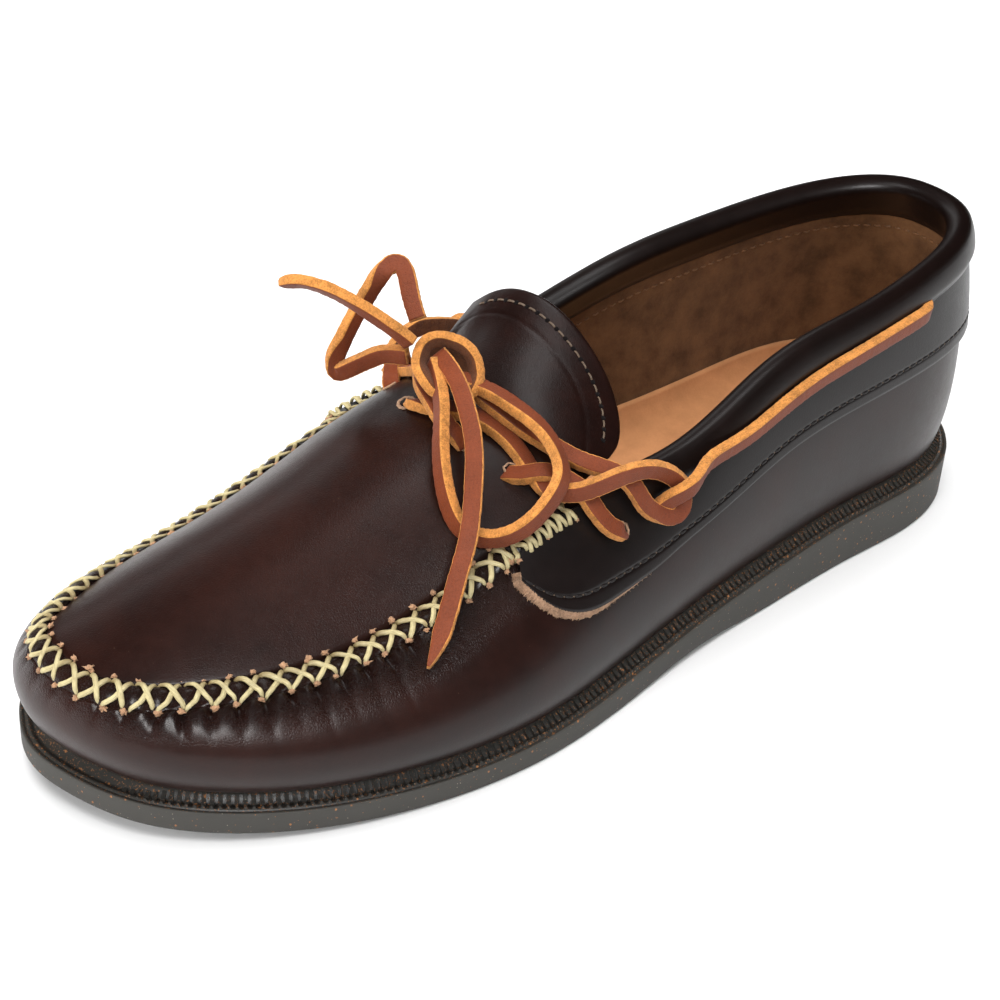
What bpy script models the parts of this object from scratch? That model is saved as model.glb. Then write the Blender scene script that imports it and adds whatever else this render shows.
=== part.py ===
"""Canoe moccasin for the left foot.

The toe points to -X, the outer (lateral) side to -Y and +Z is up.  The origin lies on the
floor under the middle of the sole.  Lengths in the tables are millimetres measured from the
toe and from the last's axis; MM and frame() turn them into metres in the part's frame.
"""
import math
from collections import namedtuple

import bmesh
import bpy
import numpy as np
from mathutils import Vector

MM = 0.001
LENGTH = 297.0            # outsole, toe to heel
AXIS_Y = 5.8              # shifts the last's axis so that the widest part is centred
GAP = 0.3                 # air between curved neighbours

# Sole, seen from the side
TOE_SPRING = 5.0          # lift of the tread at the toe tip
SPRING_LENGTH = 88.0      # the tread leaves the floor this far from the toe tip
ARCH_LIFT = 1.6           # hollow of the tread under the waist
ARCH_SPAN = (132.0, 196.0)
WALL_FORE = 6.2           # smooth side wall at the ball and at the heel
WALL_HEEL = 14.5
WALL_RAMP = (95.0, 260.0)
LEDGE_WIDTH = 4.5         # ribbed ledge around the upper
LEDGE_RISE = 2.5
TREAD_BEVEL = 0.8

# Leathers
UPPER_WALL = 2.2
OVERLAY_WALL = 1.6
BINDING_WALL = 1.3
BINDING_LEG = 6.5
TONGUE_WALL = 3.0
TONGUE_GAP = 1.0          # between the apron's end and the tongue, along the shoe
INSOLE_WALL = 2.4
RIDGE_WIDTH = 6.0         # raised apron seam
RIDGE_RISE = 2.4

# One row for each section of the last, toe to heel.  sole_*: edge of the outsole.  top_*: the
# apron seam as far as the throat, then the topline.  low_* and high_* are the handles that
# round the wall outwards above the ledge and below the top edge, inner_share is what the
# medial wall keeps of high_out, and ridge_* is the highest line of the apron.
Section = namedtuple("Section", "sole_x sole_out sole_in top_x top_out top_in top_z "
                                "low_out low_up high_out high_up inner_share ridge_y ridge_z")
SECTIONS = [
    Section(0.0, 0.0, 0.0, 5.0, -3.0, -3.0, 36.5, 6.5, 7.0, 7.5, 6.0, 1.0, -3.0, 38.0),
    Section(3.0, -13.8, 12.5, 7.0, -14.5, 7.5, 36.0, 7.0, 7.0, 8.0, 6.0, 0.95, -3.5, 39.0),
    Section(11.0, -28.8, 25.0, 14.0, -25.5, 15.5, 35.3, 8.0, 7.0, 10.0, 5.0, 0.75, -4.5, 41.0),
    Section(26.0, -41.8, 35.3, 28.0, -33.0, 23.0, 34.5, 9.5, 7.0, 13.0, 3.0, 0.5, -4.5, 44.5),
    Section(50.0, -52.9, 43.0, 50.0, -37.0, 28.5, 34.4, 10.5, 7.0, 16.0, 1.5, 0.38, -3.5, 49.0),
    Section(80.0, -59.4, 47.5, 77.0, -37.6, 33.0, 37.9, 10.5, 8.5, 17.5, 2.0, 0.45, -1.5, 55.0),
    Section(110.0, -59.8, 46.5, 104.0, -36.0, 35.5, 46.2, 9.5, 11.0, 15.0, 6.0, 0.65, 3.0, 62.0),
    Section(140.0, -54.2, 40.0, 129.0, -35.0, 34.0, 53.0, 8.0, 13.0, 11.0, 11.0, 1.0, 6.0, 68.0),
    Section(170.0, -48.0, 34.0, 162.0, -37.2, 37.0, 57.5, 7.0, 14.0, 7.0, 15.0, 1.0, 6.0, 70.0),
    Section(200.0, -43.7, 32.0, 196.0, -33.6, 33.8, 69.3, 6.0, 16.0, 6.0, 18.0, 1.0, 6.0, 70.0),
    Section(230.0, -40.3, 32.7, 227.0, -32.2, 31.8, 74.6, 5.5, 16.0, 5.5, 18.0, 1.0, 6.0, 70.0),
    Section(258.0, -38.0, 34.2, 254.0, -29.0, 28.0, 78.3, 5.5, 16.0, 6.0, 20.0, 1.0, 6.0, 70.0),
    Section(280.0, -29.5, 28.8, 275.0, -22.5, 21.5, 80.8, 5.0, 16.0, 6.5, 22.0, 1.0, 6.0, 70.0),
    Section(293.0, -14.8, 14.8, 287.0, -12.0, 11.5, 82.2, 4.0, 16.0, 6.0, 24.0, 1.0, 6.0, 70.0),
    Section(297.0, 0.0, 0.0, 290.0, 0.0, 0.0, 82.5, 4.0, 16.0, 5.5, 25.0, 1.0, 6.0, 70.0),
]
HEEL_ROW = len(SECTIONS) - 1
RING = 2 * HEEL_ROW       # rows round the whole ring: out along the lateral side, back inside
THROAT_ROW = 7
STEP = 3                  # columns between two rows
COLUMNS = RING * STEP
THROAT = THROAT_ROW * STEP
WALL_STEPS = 7
APRON_STEPS = 10

# Edge of the quarter overlay on the wall, from its round nose back to the heel: ring row and
# height of the lower edge, then of the upper edge.  The medial side mirrors the rows.
OverlayRow = namedtuple("OverlayRow", "low_row low_height top_row top_height")
OVERLAY = [
    OverlayRow(6.07, 0.82, 6.13, 0.87),
    OverlayRow(6.11, 0.74, 6.24, 0.92),
    OverlayRow(6.24, 0.62, 6.42, 0.94),
    OverlayRow(6.50, 0.53, 6.64, 0.95),
    OverlayRow(6.85, 0.50, 6.93, 0.96),
    OverlayRow(7.40, 0.52, 7.45, 0.97),
    OverlayRow(8.00, 0.585, 8.0, 0.97),
    OverlayRow(9.00, 0.60, 9.0, 0.975),
    OverlayRow(10.0, 0.60, 10.0, 0.98),
    OverlayRow(11.0, 0.60, 11.0, 0.98),
    OverlayRow(12.0, 0.60, 12.0, 0.98),
    OverlayRow(13.0, 0.60, 13.0, 0.98),
    OverlayRow(14.0, 0.60, 14.0, 0.98),
]
OVERLAY_STEPS = 5         # faces between its upper and lower edge
BINDING_START = 22        # column of the ring where the rolled topline begins

# Rim of the tongue from its lateral to its medial corner
TongueRim = namedtuple("TongueRim", "x y z")
TONGUE_RIM = [
    TongueRim(145.0, -29.0, 55.8),
    TongueRim(151.0, -25.5, 58.0),
    TongueRim(156.0, -18.5, 62.5),
    TongueRim(157.5, -9.5, 70.0),
    TongueRim(156.0, 1.0, 77.5),
    TongueRim(153.0, 11.0, 81.5),
    TongueRim(149.5, 22.0, 80.0),
    TongueRim(147.0, 32.5, 71.5),
]
TONGUE_STEPS = (6, 14)    # faces along it and across it
TONGUE_DOME = 2.5         # rise of its middle above straight lines from throat to rim

# The lace as it is tied, as points (x, y, z) of its middle line.  BARS are the strands that hold
# the shoe: each bight runs from the knot over the collar strand's end and back to a hole of the
# plug, each eyelet strand from a hole of the plug to an eyelet, each collar strand along the
# topline to a hole by the heel.  CORDS are the free pieces of the bow.
LACE_RADIUS = 1.8
LACE_SIDES = 6            # faces round a strand of the bars
LACE_SPACING = 4.0        # between two rings of a strand
BARS = {
    "bight_outer": [
        (123.0, -8.5, 69.6), (124.5, -12.0, 68.0), (127.0, -17.0, 65.4), (130.0, -21.5, 63.0),
        (133.0, -26.0, 60.8), (136.0, -31.0, 59.4), (138.5, -36.5, 59.4), (141.5, -42.0, 57.4),
        (144.0, -45.0, 52.2), (148.5, -46.0, 48.4), (153.0, -47.0, 46.9), (156.8, -47.0, 48.0),
        (158.2, -46.0, 51.0), (157.0, -45.4, 54.5), (154.0, -44.4, 57.5), (149.5, -43.8, 59.8),
        (144.0, -43.8, 61.4), (138.0, -43.3, 61.6), (132.0, -41.5, 59.8), (127.0, -38.9, 58.1),
        (123.8, -34.5, 57.3), (123.0, -29.0, 57.7), (123.4, -22.5, 60.3), (122.8, -17.0, 63.1),
        (121.2, -12.0, 65.2), (119.0, -8.0, 66.5), (116.3, -4.0, 67.0), (113.5, -0.5, 67.0),
        (111.5, 3.5, 66.8), (110.8, 7.5, 66.2), (110.8, 10.5, 65.8)],
    "eyelet_outer": [
        (118.5, -23.8, 58.4), (120.3, -26.5, 59.6), (123.8, -30.0, 60.2), (127.5, -33.0, 58.9),
        (130.0, -37.5, 56.8), (131.0, -41.2, 53.6), (133.2, -44.2, 49.6), (136.0, -45.6, 47.8)],
    "collar_outer": [
        (154.2, -46.4, 48.8), (153.0, -46.4, 52.4), (153.0, -47.2, 55.8), (155.8, -47.8, 57.6),
        (160.5, -47.0, 57.0), (166.0, -45.8, 57.2), (174.0, -44.4, 57.8), (182.0, -43.0, 58.8),
        (190.0, -42.0, 60.6), (200.0, -41.2, 63.2), (210.0, -40.4, 65.6), (220.0, -40.0, 67.5),
        (230.0, -39.4, 69.0), (240.0, -38.4, 70.2), (249.0, -37.2, 71.0)],
    "bight_inner": [
        (121.5, 13.0, 73.0), (124.0, 16.5, 71.5), (126.5, 20.5, 69.3), (129.3, 24.8, 66.4),
        (132.0, 29.0, 63.4), (135.5, 33.5, 61.2), (138.5, 37.5, 59.6), (141.5, 42.5, 56.8),
        (144.0, 44.8, 52.0), (148.5, 45.6, 48.8), (153.0, 46.0, 46.9), (156.8, 46.2, 48.0),
        (158.2, 45.8, 51.0), (157.0, 45.0, 54.5), (154.0, 44.2, 57.5), (149.5, 43.6, 59.8),
        (144.0, 43.6, 61.4), (138.0, 43.5, 62.2), (132.0, 42.0, 60.6), (127.0, 39.2, 59.0),
        (124.0, 35.0, 58.3), (123.3, 30.0, 60.0), (123.0, 25.0, 62.6), (121.8, 20.0, 65.3),
        (119.7, 15.5, 67.5), (117.0, 11.5, 68.8), (114.4, 7.5, 69.7), (112.3, 2.5, 69.8),
        (111.2, -3.0, 68.4), (111.0, -7.5, 66.2), (111.8, -10.5, 64.4)],
    "eyelet_inner": [
        (118.5, 26.5, 59.4), (120.3, 29.0, 60.6), (123.5, 31.8, 62.4), (127.5, 34.5, 60.0),
        (130.0, 38.2, 56.8), (131.2, 41.0, 53.2), (133.2, 43.0, 49.6), (136.0, 44.2, 47.6)],
    "collar_inner": [
        (154.2, 45.6, 48.8), (153.0, 45.8, 52.4), (153.0, 46.6, 55.8), (155.8, 47.2, 57.6),
        (160.5, 46.6, 57.0), (166.0, 45.6, 57.2), (174.0, 44.4, 57.8), (182.0, 43.2, 58.8),
        (190.0, 42.4, 60.6), (200.0, 41.4, 63.2), (210.0, 40.8, 65.6), (220.0, 40.1, 67.5),
        (230.0, 39.2, 69.0), (240.0, 38.0, 70.2), (249.0, 36.5, 71.0)],
}
CORDS = {
    "lace_knot": [
        (122.3, -6.4, 73.5), (123.9, -4.2, 75.8), (124.6, -1.4, 78.4), (123.9, 2.2, 80.6),
        (121.8, 5.4, 81.8), (118.5, 8.1, 82.1), (115.3, 9.2, 81.2), (112.8, 8.4, 79.3),
        (110.7, 6.4, 76.5), (110.0, 3.4, 74.8)],
    "lace_loop_outer": [
        (116.8, 2.0, 75.0), (114.0, -2.0, 74.0), (109.0, -8.0, 70.6), (104.5, -14.0, 65.6),
        (101.0, -20.5, 59.8), (99.5, -26.5, 54.6), (101.0, -31.5, 51.4), (105.5, -36.5, 51.4),
        (112.0, -39.0, 54.0), (118.0, -39.5, 58.8), (123.0, -37.5, 62.8), (126.0, -32.0, 65.6),
        (127.0, -24.0, 68.6), (125.3, -16.0, 71.0), (123.4, -11.5, 72.6)],
    "lace_loop_inner": [
        (111.0, 9.4, 77.6), (108.0, 14.5, 76.6), (106.0, 18.0, 74.4), (103.0, 22.5, 70.6),
        (101.2, 26.0, 68.4), (101.2, 27.0, 71.5), (102.8, 26.5, 75.8), (105.2, 26.0, 80.6),
        (107.8, 25.5, 85.1), (110.8, 25.0, 89.8), (113.8, 24.5, 93.7), (116.8, 23.5, 95.4),
        (117.9, 21.0, 94.0), (117.0, 17.5, 90.0), (116.4, 14.5, 86.6), (116.2, 12.8, 84.8)],
    "lace_end_outer": [
        (120.8, -1.0, 76.4), (118.5, -5.5, 75.2), (115.6, -11.0, 73.0), (112.6, -16.0, 70.2),
        (109.0, -21.5, 66.2), (104.5, -27.5, 61.8), (100.0, -33.0, 57.8), (96.0, -36.8, 53.0),
        (91.0, -40.4, 47.8), (86.0, -44.2, 43.0), (80.2, -48.2, 38.0), (75.4, -51.0, 35.0)],
    "lace_end_inner": [
        (111.0, 8.3, 81.6), (108.6, 10.6, 84.4), (106.0, 13.5, 86.8), (102.0, 17.5, 90.2),
        (98.0, 22.5, 92.9), (95.2, 26.0, 94.0), (92.4, 30.0, 94.1), (89.6, 34.0, 92.4)],
}

COLOURS = {               # base colour, roughness
    "outsole": ((0.075, 0.070, 0.066), 0.75),
    "insole": ((0.72, 0.42, 0.24), 0.60),
    "upper": ((0.060, 0.022, 0.018), 0.28),
    "tongue": ((0.060, 0.022, 0.020), 0.28),
    "quarter_overlay": ((0.022, 0.014, 0.016), 0.25),
    "collar_binding": ((0.030, 0.016, 0.016), 0.30),
    "lace": ((0.42, 0.13, 0.04), 0.55),
}


# ---------------------------------------------------------------- curves and sections
def closed_spline(values):
    """Smooth closed curve through values, one per ring row; returns a function of the row."""
    points = np.array(values, dtype=float)
    count = len(points)
    system = np.zeros((count, count))
    for row in range(count):
        system[row, row - 1] = 1.0
        system[row, row] = 4.0
        system[row, (row + 1) % count] = 1.0
    bend = 6.0 * (np.roll(points, -1, 0) - 2.0 * points + np.roll(points, 1, 0))
    second = np.linalg.solve(system, bend)

    def evaluate(row):
        low = math.floor(row)
        part = row - low
        here, following = low % count, (low + 1) % count
        cubic_here = ((1 - part) ** 3 - (1 - part)) / 6.0
        cubic_next = (part ** 3 - part) / 6.0
        return ((1 - part) * points[here] + part * points[following]
                + cubic_here * second[here] + cubic_next * second[following])

    return evaluate


def open_spline(values):
    """Smooth open curve through equally spaced values; returns a function of 0..1."""
    points = np.array(values, dtype=float)
    count = len(points)
    system = np.eye(count)
    bend = np.zeros_like(points)
    for row in range(1, count - 1):
        system[row, row - 1:row + 2] = (1.0, 4.0, 1.0)
        bend[row] = 6.0 * (points[row + 1] - 2.0 * points[row] + points[row - 1])
    second = np.linalg.solve(system, bend)

    def evaluate(part_of_whole):
        place = min(max(part_of_whole, 0.0), 1.0) * (count - 1)
        here = min(int(place), count - 2)
        part = place - here
        cubic_here = ((1 - part) ** 3 - (1 - part)) / 6.0
        cubic_next = (part ** 3 - part) / 6.0
        return ((1 - part) * points[here] + part * points[here + 1]
                + cubic_here * second[here] + cubic_next * second[here + 1])

    return evaluate


def around(outer, inner):
    """Values of one column for the whole ring: toe, lateral side, heel, medial side."""
    lateral = [outer(section) for section in SECTIONS]
    medial = [inner(section) for section in SECTIONS[HEEL_ROW - 1:0:-1]]
    return lateral + medial


sole_edge = closed_spline(around(lambda s: (s.sole_x, s.sole_out), lambda s: (s.sole_x, s.sole_in)))
top_edge = closed_spline(around(lambda s: (s.top_x, s.top_out, s.top_z),
                                lambda s: (s.top_x, s.top_in, s.top_z)))
handles = closed_spline(around(lambda s: (s.low_out, s.low_up, s.high_out, s.high_up),
                               lambda s: (s.low_out, s.low_up, s.inner_share * s.high_out,
                                          s.high_up)))
ridge_line = closed_spline(around(lambda s: (s.ridge_y, s.ridge_z),
                                  lambda s: (s.ridge_y, s.ridge_z)))


def plan_normal(curve, row):
    """Unit vector that points out of a ring in plan."""
    ahead, behind = curve(row + 0.02), curve(row - 0.02)
    along = (ahead[0] - behind[0], ahead[1] - behind[1])
    size = math.hypot(*along)
    return np.array((along[1] / size, -along[0] / size))


def inset_edge(row, distance):
    """Point of the sole's edge moved inwards in plan."""
    x, y = sole_edge(row) - distance * plan_normal(sole_edge, row)
    return x, y


def ease(value, start, end):
    part = min(max((value - start) / (end - start), 0.0), 1.0)
    return part * part * (3.0 - 2.0 * part)


def tread_z(x):
    spring = TOE_SPRING * max(0.0, 1.0 - x / SPRING_LENGTH) ** 2
    middle = (x - ARCH_SPAN[0]) / (ARCH_SPAN[1] - ARCH_SPAN[0])
    arch = ARCH_LIFT * math.sin(math.pi * middle) ** 2 if 0.0 < middle < 1.0 else 0.0
    return spring + arch


def wall_z(x):
    spring = TOE_SPRING * max(0.0, 1.0 - x / SPRING_LENGTH) ** 2
    return spring + WALL_FORE + (WALL_HEEL - WALL_FORE) * ease(x, *WALL_RAMP)


def seat_z(x):
    """Top of the outsole, on which insole and upper stand."""
    return wall_z(x) + LEDGE_RISE


def wall(row, height):
    """Outer face of the upper: height 0 at the ledge, 1 at the apron seam or topline."""
    foot_x, foot_y = inset_edge(row, LEDGE_WIDTH)
    foot = np.array((foot_x, foot_y, seat_z(foot_x) + GAP))
    top = top_edge(row)
    low_out, low_up, high_out, high_up = handles(row)
    outward = np.append(plan_normal(sole_edge, row), 0.0)
    up = np.array((0.0, 0.0, 1.0))
    low = foot + low_out * outward + low_up * up
    high = top + high_out * outward - high_up * up
    rest = 1.0 - height
    return (rest ** 3 * foot + 3 * rest * rest * height * low
            + 3 * rest * height * height * high + height ** 3 * top)


def wall_frame(row, height):
    """Outward normal and upward tangent of the wall."""
    along = wall(row + 0.05, height) - wall(row - 0.05, height)
    upward = wall(row, min(height + 0.02, 1.0)) - wall(row, max(height - 0.02, 0.0))
    normal = np.cross(along, upward)
    return normal / np.linalg.norm(normal), upward / np.linalg.norm(upward)


def offset_wall(row, height, lift):
    return wall(row, height) + lift * wall_frame(row, height)[0]


def height_below_top(row, depth):
    """Height of the wall this many millimetres below its top edge."""
    speed = np.linalg.norm(wall(row, 1.0) - wall(row, 0.9)) / 0.1
    return 1.0 - depth / speed


def apron_section(row, steps):
    """Points of the apron across the instep, from the lateral to the medial seam's inner foot."""
    lateral, medial = ridge_foot(row), ridge_foot(-row)
    middle = (lateral + medial) / 2.0
    ridge_y, ridge_z = ridge_line(row)
    points = []
    for step in range(steps + 1):
        across = 2.0 * step / steps - 1.0
        point = lateral + (medial - lateral) * (across + 1.0) / 2.0
        crown = 1.0 - across * across
        point[1] += (ridge_y - middle[1]) * crown
        point[2] += (ridge_z - middle[2]) * (1.0 - abs(across) ** 2.2)
        points.append(point)
    return points


def ridge_crest(row):
    inward = -plan_normal(top_edge, row) * RIDGE_WIDTH / 2.0
    return top_edge(row) + np.array((inward[0], inward[1], RIDGE_RISE))


def ridge_foot(row):
    inward = -plan_normal(top_edge, row) * RIDGE_WIDTH
    return top_edge(row) + np.array((inward[0], inward[1], RIDGE_RISE * 0.3))


# ---------------------------------------------------------------- Blender helpers
def frame(point):
    """Table millimetres to metres in the part's frame."""
    return Vector(((point[0] - LENGTH / 2.0) * MM, (point[1] + AXIS_Y) * MM, point[2] * MM))


def clear_scene():
    for item in list(bpy.data.objects):
        bpy.data.objects.remove(item, do_unlink=True)


def material(name):
    colour, roughness = COLOURS[name]
    finish = bpy.data.materials.new(name)
    finish.use_nodes = True
    shader = finish.node_tree.nodes["Principled BSDF"]
    shader.inputs["Base Color"].default_value = (*colour, 1.0)
    shader.inputs["Roughness"].default_value = roughness
    finish.diffuse_color = (*colour, 1.0)
    return finish


def mesh_object(name, vertices, faces, finish, parts):
    mesh = bpy.data.meshes.new(name)
    mesh.from_pydata([frame(vertex) for vertex in vertices], [], faces)
    work = bmesh.new()
    work.from_mesh(mesh)
    bmesh.ops.recalc_face_normals(work, faces=work.faces)
    work.to_mesh(mesh)
    work.free()
    mesh.shade_smooth()
    mesh.materials.append(finish)
    piece = bpy.data.objects.new(name, mesh)
    parts.objects.link(piece)
    return piece


def stack_of_rings(rings):
    """Closed solid from rings of equal count, bottom to top, closed by strips across."""
    count = len(rings[0])
    vertices = [point for ring in rings for point in ring]
    faces = []
    for level in range(len(rings) - 1):
        for column in range(count):
            here, beside = level * count + column, level * count + (column + 1) % count
            faces.append((here, beside, beside + count, here + count))
    for base, flip in ((0, True), ((len(rings) - 1) * count, False)):
        for column in range(count // 2):
            corners = [base + column, base + column + 1,
                       base + (count - column - 1) % count, base + (count - column) % count]
            if column == 0:
                corners = corners[:3]
            if column == count // 2 - 1:
                corners = [corners[0], corners[1], corners[3]]
            faces.append(tuple(reversed(corners)) if flip else tuple(corners))
    return vertices, faces


def add_shell(piece, thickness, offset=-1.0):
    shell = piece.modifiers.new("wall", "SOLIDIFY")
    shell.thickness = thickness * MM
    shell.offset = offset
    shell.use_even_offset = True
    shell.use_quality_normals = True
    return shell


# ---------------------------------------------------------------- pieces
def ring_rows(step=STEP):
    return [column / step for column in range(RING * step)]


def build_outsole(parts):
    tread, low_side, high_side, ledge, seat = [], [], [], [], []
    for row in ring_rows():
        x, y = sole_edge(row)
        in_x, in_y = inset_edge(row, TREAD_BEVEL)
        seat_x, seat_y = inset_edge(row, LEDGE_WIDTH + 1.0)
        ledge_x, ledge_y = inset_edge(row, 0.8)
        tread.append((in_x, in_y, tread_z(in_x)))
        low_side.append((x, y, tread_z(x) + TREAD_BEVEL))
        high_side.append((x, y, wall_z(x)))
        ledge.append((ledge_x, ledge_y, wall_z(x) + 0.5))
        seat.append((seat_x, seat_y, seat_z(seat_x)))
    vertices, faces = stack_of_rings([tread, low_side, high_side, ledge, seat])
    return mesh_object("outsole", vertices, faces, material("outsole"), parts)


def build_insole(parts):
    inset = LEDGE_WIDTH + UPPER_WALL + 2.0
    bottom, top = [], []
    for row in ring_rows(2):
        x, y = inset_edge(row, inset)
        base = seat_z(x) + GAP
        bottom.append((x, y, base))
        top.append((x, y, base + INSOLE_WALL))
    vertices, faces = stack_of_rings([bottom, top])
    return mesh_object("insole", vertices, faces, material("insole"), parts)


def build_upper(parts):
    """Wrap, apron seam and apron as one open surface, then given the leather's thickness."""
    vertices, faces = [], []

    def add(point):
        vertices.append(point)
        return len(vertices) - 1

    columns = [[add(wall(row, level / WALL_STEPS)) for level in range(WALL_STEPS + 1)]
               for row in ring_rows()]
    for column in range(COLUMNS):
        here, beside = columns[column], columns[(column + 1) % COLUMNS]
        for level in range(WALL_STEPS):
            faces.append((here[level], beside[level], beside[level + 1], here[level + 1]))

    crest, foot = {}, {}
    for column in range(-THROAT, THROAT + 1):
        row = column / STEP
        crest[column], foot[column] = add(ridge_crest(row)), add(ridge_foot(row))
    for column in range(-THROAT, THROAT):
        lines = [columns[column % COLUMNS][-1], crest[column], foot[column]]
        following = [columns[(column + 1) % COLUMNS][-1], crest[column + 1], foot[column + 1]]
        for low in range(2):
            faces.append((lines[low], following[low], following[low + 1], lines[low + 1]))

    earlier = [foot[0]]
    for column in range(1, THROAT + 1):
        inner = [add(point) for point in apron_section(column / STEP, APRON_STEPS)[1:-1]]
        section = [foot[column]] + inner + [foot[-column]]
        for step in range(APRON_STEPS):
            if len(earlier) == 1:
                faces.append((earlier[0], section[step], section[step + 1]))
            else:
                faces.append((earlier[step], section[step], section[step + 1], earlier[step + 1]))
        earlier = section
    upper = mesh_object("upper", vertices, faces, material("upper"), parts)
    add_shell(upper, UPPER_WALL)
    return upper


def grid_object(name, rows, finish, parts):
    """Open surface through a grid of points."""
    width = len(rows[0])
    vertices = [point for row in rows for point in row]
    faces = []
    for row in range(len(rows) - 1):
        for column in range(width - 1):
            here = row * width + column
            faces.append((here, here + 1, here + width + 1, here + width))
    return mesh_object(name, vertices, faces, finish, parts)


def build_overlay(parts):
    """Band cut between two offsets of the upper's own wall."""
    stations = OVERLAY + [OverlayRow(RING - row.low_row, row.low_height,
                                     RING - row.top_row, row.top_height)
                          for row in reversed(OVERLAY[:-1])]
    edge = open_spline(stations)
    count = STEP * (len(stations) - 1)
    inner, outer = [], []
    for station in range(count + 1):
        low_row, low_height, top_row, top_height = edge(station / count)
        places = []
        for step in range(OVERLAY_STEPS + 1):
            part = step / OVERLAY_STEPS
            places.append((low_row + (top_row - low_row) * part,
                           low_height + (top_height - low_height) * part))
        inner.append([offset_wall(row, height, GAP) for row, height in places])
        outer.append([offset_wall(row, height, GAP + OVERLAY_WALL) for row, height in places])
    return closed_band("quarter_overlay", inner, outer, material("quarter_overlay"), parts)


def closed_band(name, inner, outer, finish, parts):
    """Closed solid between two grids of the same size."""
    width = len(inner[0])
    size = len(inner) * width
    vertices = [point for row in inner + outer for point in row]
    faces = []
    for row in range(len(inner) - 1):
        for column in range(width - 1):
            here = row * width + column
            corners = (here, here + 1, here + width + 1, here + width)
            faces.append(tuple(reversed(corners)))
            faces.append(tuple(corner + size for corner in corners))
    border = [row * width for row in range(len(inner))]
    border += [(len(inner) - 1) * width + column for column in range(1, width)]
    border += [row * width + width - 1 for row in range(len(inner) - 2, -1, -1)]
    border += list(range(width - 2, 0, -1))
    for place, here in enumerate(border):
        beside = border[(place + 1) % len(border)]
        faces.append((here, beside, beside + size, here + size))
    return mesh_object(name, vertices, faces, finish, parts)


def build_binding(parts):
    """Rolled leather edge over the top of upper and overlay, open underneath."""
    outer_leg = GAP + OVERLAY_WALL + GAP
    inner_leg = -(UPPER_WALL + 1.5 * GAP)
    skin = BINDING_WALL
    legs = (BINDING_LEG, BINDING_LEG / 2.0, 0.0)

    def leg(row, out):
        return [offset_wall(row, height_below_top(row, depth), out) for depth in legs]

    rings = []
    for column in range(BINDING_START, COLUMNS - BINDING_START + 1):
        row = column / STEP
        normal, up = wall_frame(row, 1.0)
        inside = leg(row, outer_leg) + leg(row, inner_leg)[::-1]
        inside[2] = inside[2] + GAP * up
        inside[3] = inside[3] + GAP * up
        outside = leg(row, outer_leg + skin) + leg(row, inner_leg - skin)[::-1]
        outside[2] = outside[2] - 0.3 * skin * up
        outside[3] = outside[3] - 0.3 * skin * up
        top = top_edge(row)
        crown = [top + out * normal + rise * up
                 for out, rise in ((outer_leg + 0.6 * skin, GAP + 0.7 * skin),
                                   ((outer_leg + inner_leg) / 2.0, GAP + 1.1 * skin),
                                   (inner_leg - 0.6 * skin, GAP + 0.7 * skin))]
        outside = outside[:3] + crown + outside[3:]
        rings.append(inside + outside[::-1])
    size = len(rings[0])
    vertices = [point for ring in rings for point in ring]
    faces = []
    for station in range(len(rings) - 1):
        for corner in range(size):
            here, beside = station * size + corner, station * size + (corner + 1) % size
            faces.append((here, beside, beside + size, here + size))
    last = len(rings) - 1
    faces.append(tuple(range(size)))
    faces.append(tuple(last * size + corner for corner in range(size))[::-1])
    return mesh_object("collar_binding", vertices, faces, material("collar_binding"), parts)


def build_tongue(parts):
    """Round flap that goes on from the apron's end, over the instep."""
    along, across = TONGUE_STEPS
    base = open_spline(apron_section(THROAT_ROW, across))
    rim = open_spline(TONGUE_RIM)
    rows = []
    for line in range(along + 1):
        reach = line / along
        points = []
        for step in range(across + 1):
            side = step / across
            start = base(side) + np.array((TONGUE_GAP, 0.0, 0.0))
            point = start + (rim(side) - start) * reach
            dome = TONGUE_DOME * 4.0 * reach * (1.0 - reach) * math.sin(math.pi * side)
            point[0] -= 0.4 * dome
            point[2] += dome
            points.append(point)
        rows.append(points)
    tongue = grid_object("tongue", rows, material("tongue"), parts)
    if tongue.data.polygons[0].normal.z < 0.0:
        tongue.data.flip_normals()
    add_shell(tongue, TONGUE_WALL)
    return tongue


def lace_line(route):
    """Evenly spaced points on a smooth curve through a route, in the part's frame."""
    curve = open_spline(route)
    fine = [curve(step / (8.0 * len(route))) for step in range(8 * len(route) + 1)]
    reach = np.cumsum([0.0] + [np.linalg.norm(b - a) for a, b in zip(fine, fine[1:])])
    count = max(2, round(reach[-1] / LACE_SPACING))
    places = [np.interp(reach[-1] * step / count, reach, range(len(fine)))
              for step in range(count + 1)]
    return [frame(curve(place / (8.0 * len(route)))) for place in places]


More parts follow.
